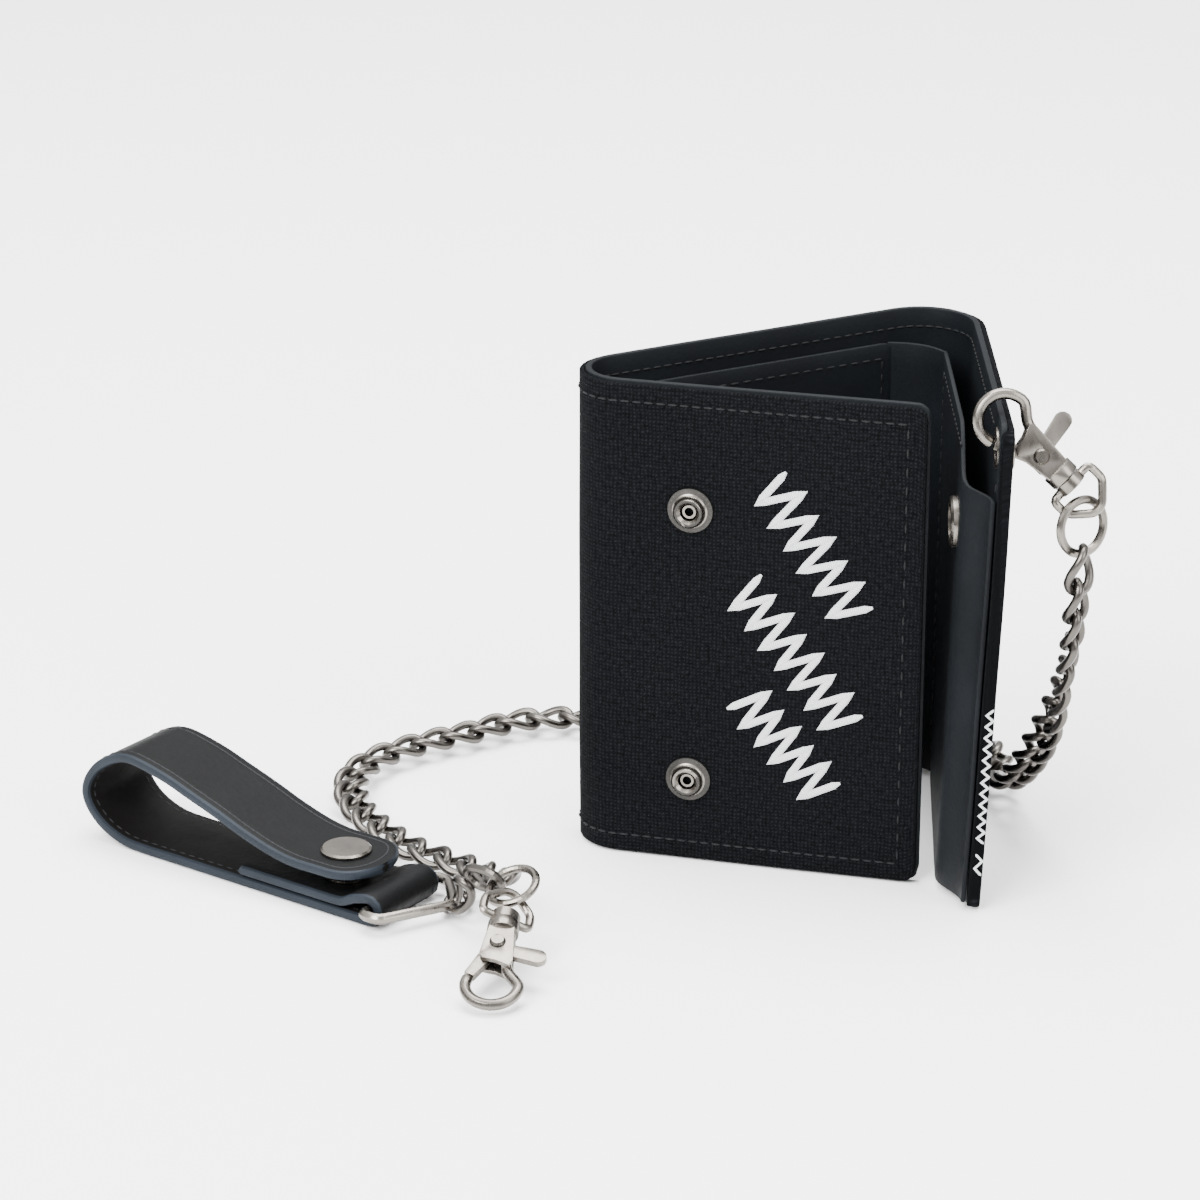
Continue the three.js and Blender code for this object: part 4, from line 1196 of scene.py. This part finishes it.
def fold_leaf(materials):
    """The leaf that takes the divider round the wide fold, slightly bowed."""
    first = COVER_LENGTH - 1
    start = strip_at(first)[0] + Vector((-cover_divider_depth(first), 0))
    back_point, heading = strip_at(DIVIDER_START)
    end = back_point + DIVIDER_DEPTH * Vector((-math.sin(heading), math.cos(heading)))
    sections = []
    for index in range(13):
        share = index / 12
        middle = start.lerp(end, share)
        across = (end - start).normalized()
        inward = Vector((-across.y, across.x))
        middle = middle - inward * 2.2 * math.sin(math.pi * share)
        section = []
        for height, depth in wall_profile(DIVIDER_FOOT, DIVIDER_TOP, LEAF, 0.3, 20):
            place = middle + inward * depth
            section.append(at(place.x, place.y, height))
        sections.append(section)
    return loft("fold_leaf", sections, materials)


class WALLET_OT_seams(bpy.types.Operator):
    """Sews the wallet's seams, stitch by stitch"""

    bl_idname = "wallet.seams"
    bl_label = "Seams"

    def execute(self, context):
        stitch = stitch_template()
        top = HEIGHT - 4.4
        foot = 4.4
        edge = 4.5

        def outer(distance, height):
            return strip_point(distance, ripple(strip_point(distance, 0, height)) - 0.02, height)

        def inner(distance, height):
            return strip_point(distance, ripple(strip_point(distance, 0, height)) + SHELL + 0.04, height)

        def outward(distance, height):
            return strip_normal(distance)

        seams = (("seam_left", STRIP_LENGTH - edge, left_bend()), ("seam_right", edge, right_bend()))
        for name, turn, bend in seams:
            corners = [(BACK_MIDDLE, top), (turn, top), (turn, foot), (BACK_MIDDLE, foot)]
            finer = []
            for start, end in zip(corners, corners[1:]):
                for share in range(24):
                    finer.append(tuple(a + (b - a) * share / 24 for a, b in zip(start, end)))
            finer.append(corners[-1])
            finer = [spot for spot in finer if math.dist(spot, EYELET) > EYELET_SEAM_GAP]
            places = seam_places(finer, outer, outward) + seam_places(finer, inner, outward)
            seam = scatter(name, stitch, places, [finish("thread")])
            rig.blend(seam, *bend)

        def leaf(depth):
            return lambda distance, height: strip_point(distance, depth + 0.04, height)

        start = DIVIDER_START
        end = DIVIDER_END
        face = leaf(DIVIDER_DEPTH + LEAF)
        places = seam_places([(start + 2, 100), (end - 2, 100)], face, outward)
        places += seam_places([(start + 2.5, 100), (start + 2.5, 5)], face, outward)
        for index in range(3):
            height = POCKET_TOP - POCKET_STEP * index - 3
            face = leaf(7.3 + POCKET_SPACING * index)
            places += seam_places([(start + 6, height), (end - 5, height)], face, outward)
        seam = scatter("seam_pockets", stitch, places, [finish("thread")])
        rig.ride(seam, "back")

        def cover_leaf(distance, height):
            return strip_point(distance, cover_divider_depth(distance) + 1.04, height)

        corners = [(18, 100), (69, 100), (69, 5)]
        places = seam_places(corners, cover_leaf, outward)
        seam = scatter("seam_cover_pocket", stitch, places, [finish("thread")])
        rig.ride(seam, "cover")
        drop_template(stitch)
        return {"FINISHED"}


def stroke_piece(name, corners, surface, normal, width, height):
    """One satin-stitched zigzag: a low rounded band through corners in a sheet's own two measures."""
    line = []
    for start, end in zip(corners, corners[1:]):
        for step in range(6):
            line.append(tuple(a + (b - a) * step / 6 for a, b in zip(start, end)))
    line.append(corners[-1])
    sections = []
    last = len(line) - 1
    for index, here in enumerate(line):
        before = line[max(index - 1, 0)]
        after = line[min(index + 1, last)]
        direction = Vector((after[0] - before[0], after[1] - before[1])).normalized()
        across = Vector((-direction.y, direction.x))
        corner_point = index % 6 == 0 and 0 < index < last
        half = width / 2 * (1.25 if corner_point else 1.0)
        end_share = 0.35 if index in (0, last) else 1.0
        section = []
        for step in range(12):
            angle = 2 * math.pi * step / 12
            side = half * math.cos(angle) * end_share
            lift = height * math.sin(angle) * end_share
            u = here[0] + across.x * side
            v = here[1] + across.y * side
            section.append(surface(u, v) + normal(u, v) * lift * MM)
        sections.append(section)
    return loft(name, sections, [finish("satin")])


class WALLET_OT_marks(bpy.types.Operator):
    """Embroiders plain zigzags on the front panel and on the cover"""

    bl_idname = "wallet.marks"
    bl_label = "Stitched Zigzags"

    def execute(self, context):
        def front_surface(along, height):
            return strip_point(START["front"] + along, 0, height)

        def front_normal(along, height):
            return strip_normal(START["front"] + along)

        rows = (
            ((47.5, 19.5), (29, 40.5), 11),
            ((52, 36), (28.5, 66), 14),
            ((53.5, 61.5), (34, 90.5), 12),
        )
        for index, (start, end, peaks) in enumerate(rows):
            direction = Vector((end[0] - start[0], end[1] - start[1]))
            across = Vector((-direction.y, direction.x)).normalized() * 5.6
            corners = []
            for peak in range(peaks + 1):
                share = peak / peaks
                side = (across if peak % 2 else -across) * (0.72, 1.0, 0.86, 0.95)[peak % 4]
                spot = Vector(start) + direction * share + side
                corners.append((spot.x, spot.y))
            name = f"zigzag_front_{index + 1}"
            mark = stroke_piece(name, corners, front_surface, front_normal, 1.75, 0.5)
            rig.ride(mark, "front")

        def cover_surface(distance, height):
            return strip_point(distance, 0, height)

        def cover_normal(distance, height):
            return strip_normal(distance)

        def rim_surface(depth, height):
            return strip_point(0, depth, height)

        def rim_normal(depth, height):
            return Vector((0, -1, 0))

        for index, (low, high, peaks) in enumerate(((16, 47, 24), (8.5, 13.5, 3))):
            corners = [
                (0.35 + (1.5 if peak % 2 else 0), low + (high - low) * peak / peaks)
                for peak in range(peaks + 1)
            ]
            mark = stroke_piece(f"zigzag_rim_{index + 1}", corners, rim_surface, rim_normal, 0.55, 0.3)
            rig.ride(mark, "cover")

        columns = ((20, 14, 64, 9, 2.4), (64, 90, 103, 6, 1.2), (38, 30, 80, 9, 2.4))
        for index, (distance, low, high, peaks, width) in enumerate(columns):
            corners = []
            for peak in range(peaks + 1):
                side = 4.5 if peak % 2 else -4.5
                corners.append((distance + side, low + (high - low) * peak / peaks))
            name = f"zigzag_cover_{index + 1}"
            mark = stroke_piece(name, corners, cover_surface, cover_normal, width, 0.42)
            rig.ride(mark, "cover")
        return {"FINISHED"}


# ---- belt strap -----------------------------------------------------------------------


def strap_place(along, across, height):
    """A place in the strap's own frame: from the ring's bar to the nose, across, and up."""
    x = STRAP_BAR.x + along * math.cos(STRAP_HEADING) - across * math.sin(STRAP_HEADING)
    y = STRAP_BAR.y + along * math.sin(STRAP_HEADING) + across * math.cos(STRAP_HEADING)
    return at(x, y, height)


def strap_bend():
    return "strap", "flap", strap_place(66, 0, 21.9), strap_place(58, 0, 20.4)


def strap_base_line():
    half = STRAP_THICKNESS / 2
    tab = STRAP_THICKNESS + 0.3 + half
    wrap = 1.2 + 0.3 + half
    points = [Vector((x, tab)) for x in (36, 28, 20, 12)]
    points += [Vector((8.2, tab + 0.08)), Vector((6.5, tab + 0.5)), Vector((4.4, tab + 1.6))]
    for angle in range(75, 271, 15):
        turn = math.radians(angle)
        points.append(Vector((wrap * math.cos(turn), BAR_HEIGHT + wrap * math.sin(turn))))
    points += [Vector((5, half)), Vector((30, half)), Vector((55, half))]
    for from_end, share in NOSE_LINE:
        points.append(Vector((STRAP_LENGTH - from_end, half + share * (STRAP_HEIGHT - STRAP_THICKNESS))))
    return points


def strap_flap_line():
    top = STRAP_HEIGHT - STRAP_THICKNESS / 2
    rest = FLAP_HEIGHT + STRAP_THICKNESS / 2
    points = [Vector((STRAP_LENGTH - 15.2, top))]
    for from_end, drop in FLAP_LINE[1:]:
        points.append(Vector((STRAP_LENGTH - from_end, top - drop * (top - rest))))
    return points + [Vector((14, rest)), Vector((3, rest))]


def ribbon_side(thickness, half_width, edge):
    """[across, up] pairs round a strap's section, over its upper face and back."""
    top = thickness / 2
    flat = half_width - edge
    shoulder = half_width - 0.3 * edge
    drop = top - 0.3 * edge
    pairs = [(-flat + 2 * flat * step / 8, top) for step in range(9)]
    pairs += [(shoulder, drop), (half_width, 0), (shoulder, -drop)]
    pairs += [(flat - 2 * flat * step / 8, -top) for step in range(9)]
    pairs += [(-shoulder, -drop), (-half_width, 0), (-shoulder, drop)]
    return pairs


def strap_line():
    """The whole strap's middle line, and the distance along it where the flap begins."""
    base = strap_base_line()
    points = base + strap_flap_line()[1:]
    line = smooth_line([Vector((point.x, 0, point.y)) for point in points], 6)
    joint = (len(base) - 1) * 6
    return line, sum((b - a).length for a, b in zip(line[:joint], line[1:joint + 1]))


def strap_ribbon(name, place, first, last, half_width, materials, tip=0.0):
    """Part of the strap between two distances along its line; tip rounds its far end in plan."""
    count = max(30, round((last - first) / 1.5))
    distances = [first + (last - first) * index / count for index in range(count + 1)]
    if tip:
        distances = [distance for distance in distances if distance < last - tip]
        distances += [last - tip * (1 - math.sin(math.radians(angle))) for angle in range(0, 88, 8)]
        distances.append(last - 0.02)
    else:
        distances[1:1] = [first + 0.4]
    sections = []
    for number, distance in enumerate(distances):
        middle, along = place(distance)
        upward = Vector((-along.z, 0, along.x))
        half = half_width
        slim = 1.0
        if tip and distance > last - tip:
            reach = (distance - (last - tip)) / tip
            half = max(half_width * math.sqrt(max(1 - reach ** 2.4, 0)), 1.2)
        if (not tip and number == 0) or (tip and number == len(distances) - 1):
            slim = 0.6
        section = []
        for across, up in ribbon_side(STRAP_THICKNESS, half, 0.9):
            spot = middle + upward * up * slim
            section.append(strap_place(spot.x, across, spot.z))
        sections.append(section)

    def band(corner):
        if corner < 8:
            return 0
        if 12 <= corner < 20:
            return 1
        return 2

    return loft(name, sections, materials, band)


class WALLET_OT_strap(bpy.types.Operator):
    """Models the belt strap with its painted edges and seams"""

    bl_idname = "wallet.strap"
    bl_label = "Belt Strap"

    def execute(self, context):
        outside = finish("strap")
        inside = finish("strap_inside")
        edge = finish("edge")
        half = STRAP_WIDTH / 2
        line, joint = strap_line()
        place, length = walk(line)
        base = strap_ribbon("strap_lower", place, 0, joint, half, [inside, outside, edge])
        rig.replaces(base, "strap_base")
        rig.ride(base, "strap")
        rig.slot(base, "strap_leather")
        flap = strap_ribbon("strap_upper", place, joint, length, half, [inside, outside, edge], tip=9.0)
        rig.replaces(flap, "strap_flap")
        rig.blend(flap, *strap_bend())
        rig.slot(flap, "strap_leather")

        stitch = stitch_template()
        side = half - 2.3

        def on_line(face):
            def surface(distance, across):
                middle, along = place(distance)
                upward = Vector((-along.z, 0, along.x))
                spot = middle + upward * face * (STRAP_THICKNESS / 2 - 0.1)
                return strap_place(spot.x, across, spot.z)
            return surface

        def normal_of(face):
            def normal(distance, across):
                along = place(distance)[1]
                upward = Vector((-along.z, 0, along.x)) * face
                return strap_place(upward.x, 0, upward.z) - strap_place(0, 0, 0)
            return normal

        def run(first, last, across):
            count = 40
            return [(first + (last - first) * index / count, across) for index in range(count + 1)]

        places = []
        for face in (1, -1):
            for across in (-side, side):
                places += seam_places(run(40, joint, across), on_line(face), normal_of(face))
        sewn = scatter("seam_strap", stitch, places, [finish("strap_thread")])
        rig.ride(sewn, "strap")
        places = []
        straight = length - 9
        for face in (1, -1):
            for across in (-side, side):
                places += seam_places(run(joint, straight, across), on_line(face), normal_of(face))
            rounded = []
            for angle in range(-90, 91, 9):
                turn = math.radians(angle)
                reach = (9 - 2.3) * max(math.cos(turn), 0) ** 0.8
                rounded.append((straight + reach, side * math.sin(turn)))
            places += seam_places(rounded, on_line(face), normal_of(face))
        sewn = scatter("seam_flap", stitch, places, [finish("strap_thread")])
        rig.blend(sewn, *strap_bend())
        drop_template(stitch)
        return {"FINISHED"}


def paint_stud_shade(stud, distance):
    """Paints shade on the stud with the shadowed snap metal: painted shade in the hollow of its centre, and painted
    shade on its low flange next to the canvas, so that the flange is darker than its post; a ring of small notches is
    pressed into the flange.
    """
    stud.data.materials.append(finish("recess"))
    outward = strip_normal(distance)
    face = strip_point(distance, 0, 0)
    centre = sum((vert.co for vert in stud.data.vertices), Vector()) / len(stud.data.vertices)
    for polygon in stud.data.polygons:
        arm = polygon.center - centre
        arm -= outward * arm.dot(outward)
        low = (polygon.center - face).dot(outward) < 0.0009
        # painted shade: the centre's hollow and the low flange take the shadowed metal
        if arm.length > 0.0034 and low or arm.length < 0.0017:
            polygon.material_index = 1
    notch = stitch_template()
    places = []
    for step in range(28):
        turn = Matrix.Rotation(2 * math.pi * step / 28, 3, outward)
        arm = turn @ Vector((0, 0, 0.0043))
        base = centre - outward * (centre - face).dot(outward)
        places.append(basis(base + arm + outward * 0.0007, arm, outward) @ Matrix.Scale(0.42, 4))
    ridges = scatter(stud.name + "_ridges", notch, places, [finish("chain")])
    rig.ride(ridges, "front")
    drop_template(notch)


class WALLET_OT_hardware(bpy.types.Operator):
    """Finishes the snaps, the eyelet, the clips and the rings"""

    bl_idname = "wallet.hardware"
    bl_label = "Metal Parts"

    def execute(self, context):
        nickel = finish("nickel")
        bodies = {
            "cover": ["socket_upper", "socket_back_upper", "socket_lower", "socket_back_lower", "eyelet",
                      "eyelet_washer", "wallet_clip_hook", "wallet_clip_rivet", "wallet_clip_spring"],
            "wallet_gate": ["wallet_clip_gate"],
            "wallet_swivel": ["wallet_clip_stirrup", "ring_upper"],
            "front": ["stud_upper", "stud_back_upper", "stud_lower", "stud_back_lower"],
            "belt_clip": ["belt_clip_hook", "belt_clip_rivet", "belt_clip_spring"],
            "belt_gate": ["belt_clip_gate"],
            "strap": ["strap_stud"],
            "flap": ["strap_socket", "strap_cap"],
            "back": ["belt_clip_stirrup", "ring_lower", "triangle_ring", "link_ring_side"],
        }
        for body, nodes in bodies.items():
            for node in nodes:
                material = finish("chain") if node == "link_ring_side" else nickel
                frame["nodes"][node].data.materials.clear()
                frame["nodes"][node].data.materials.append(material)
                if node in ("ring_lower", "link_ring_side"):
                    continue
                sharp = node.endswith(("hook", "gate", "lever"))
                piece = smooth_copy(node, material, body, bevel=0.3 if sharp else 0.0)
                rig.slot(piece, "nickel")
                if node in ("stud_upper", "stud_lower"):
                    # paints shade on the stud's centre and its flange
                    paint_stud_shade(piece, START["front"] + STUD_FROM_FOLD)
        return {"FINISHED"}


class WALLET_PT_panel(bpy.types.Panel):
    """Lists the wallet's pieces in the order they are made"""

    bl_idname = "WALLET_PT_panel"
    bl_label = "Chain Wallet"
    bl_space_type = "VIEW_3D"
    bl_region_type = "UI"
    bl_category = "Wallet"

    def draw(self, context):
        column = self.layout.column()
        for operator in OPERATORS:
            column.operator(operator.bl_idname)
        for group in (context.scene.wallet_sizes, context.scene.wallet_colours):
            for name in group.__annotations__:
                column.prop(group, name)


OPERATORS = (
    WALLET_OT_stage,
    WALLET_OT_chain,
    WALLET_OT_shell,
    WALLET_OT_leaves,
    WALLET_OT_seams,
    WALLET_OT_marks,
    WALLET_OT_strap,
    WALLET_OT_hardware,
)
CLASSES = (WalletSizes, WalletColours, *OPERATORS, WALLET_PT_panel)


def register():
    for item in CLASSES:
        bpy.utils.register_class(item)
    bpy.types.Scene.wallet_sizes = bpy.props.PointerProperty(type=WalletSizes)
    bpy.types.Scene.wallet_colours = bpy.props.PointerProperty(type=WalletColours)


def unregister():
    del bpy.types.Scene.wallet_colours
    del bpy.types.Scene.wallet_sizes
    for item in reversed(CLASSES):
        bpy.utils.unregister_class(item)


def main():
    register()
    for operator in OPERATORS:
        group, name = operator.bl_idname.split(".")
        getattr(getattr(bpy.ops, group), name)()
    deselect()
    boxes = {"cad": [list(corner) for corner in CAD_BOX], "visual": [list(corner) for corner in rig.bounds()]}
    with open("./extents.json", "w") as size_file:
        json.dump(boxes, size_file, indent=1)


if __name__ == "__main__":
    main()
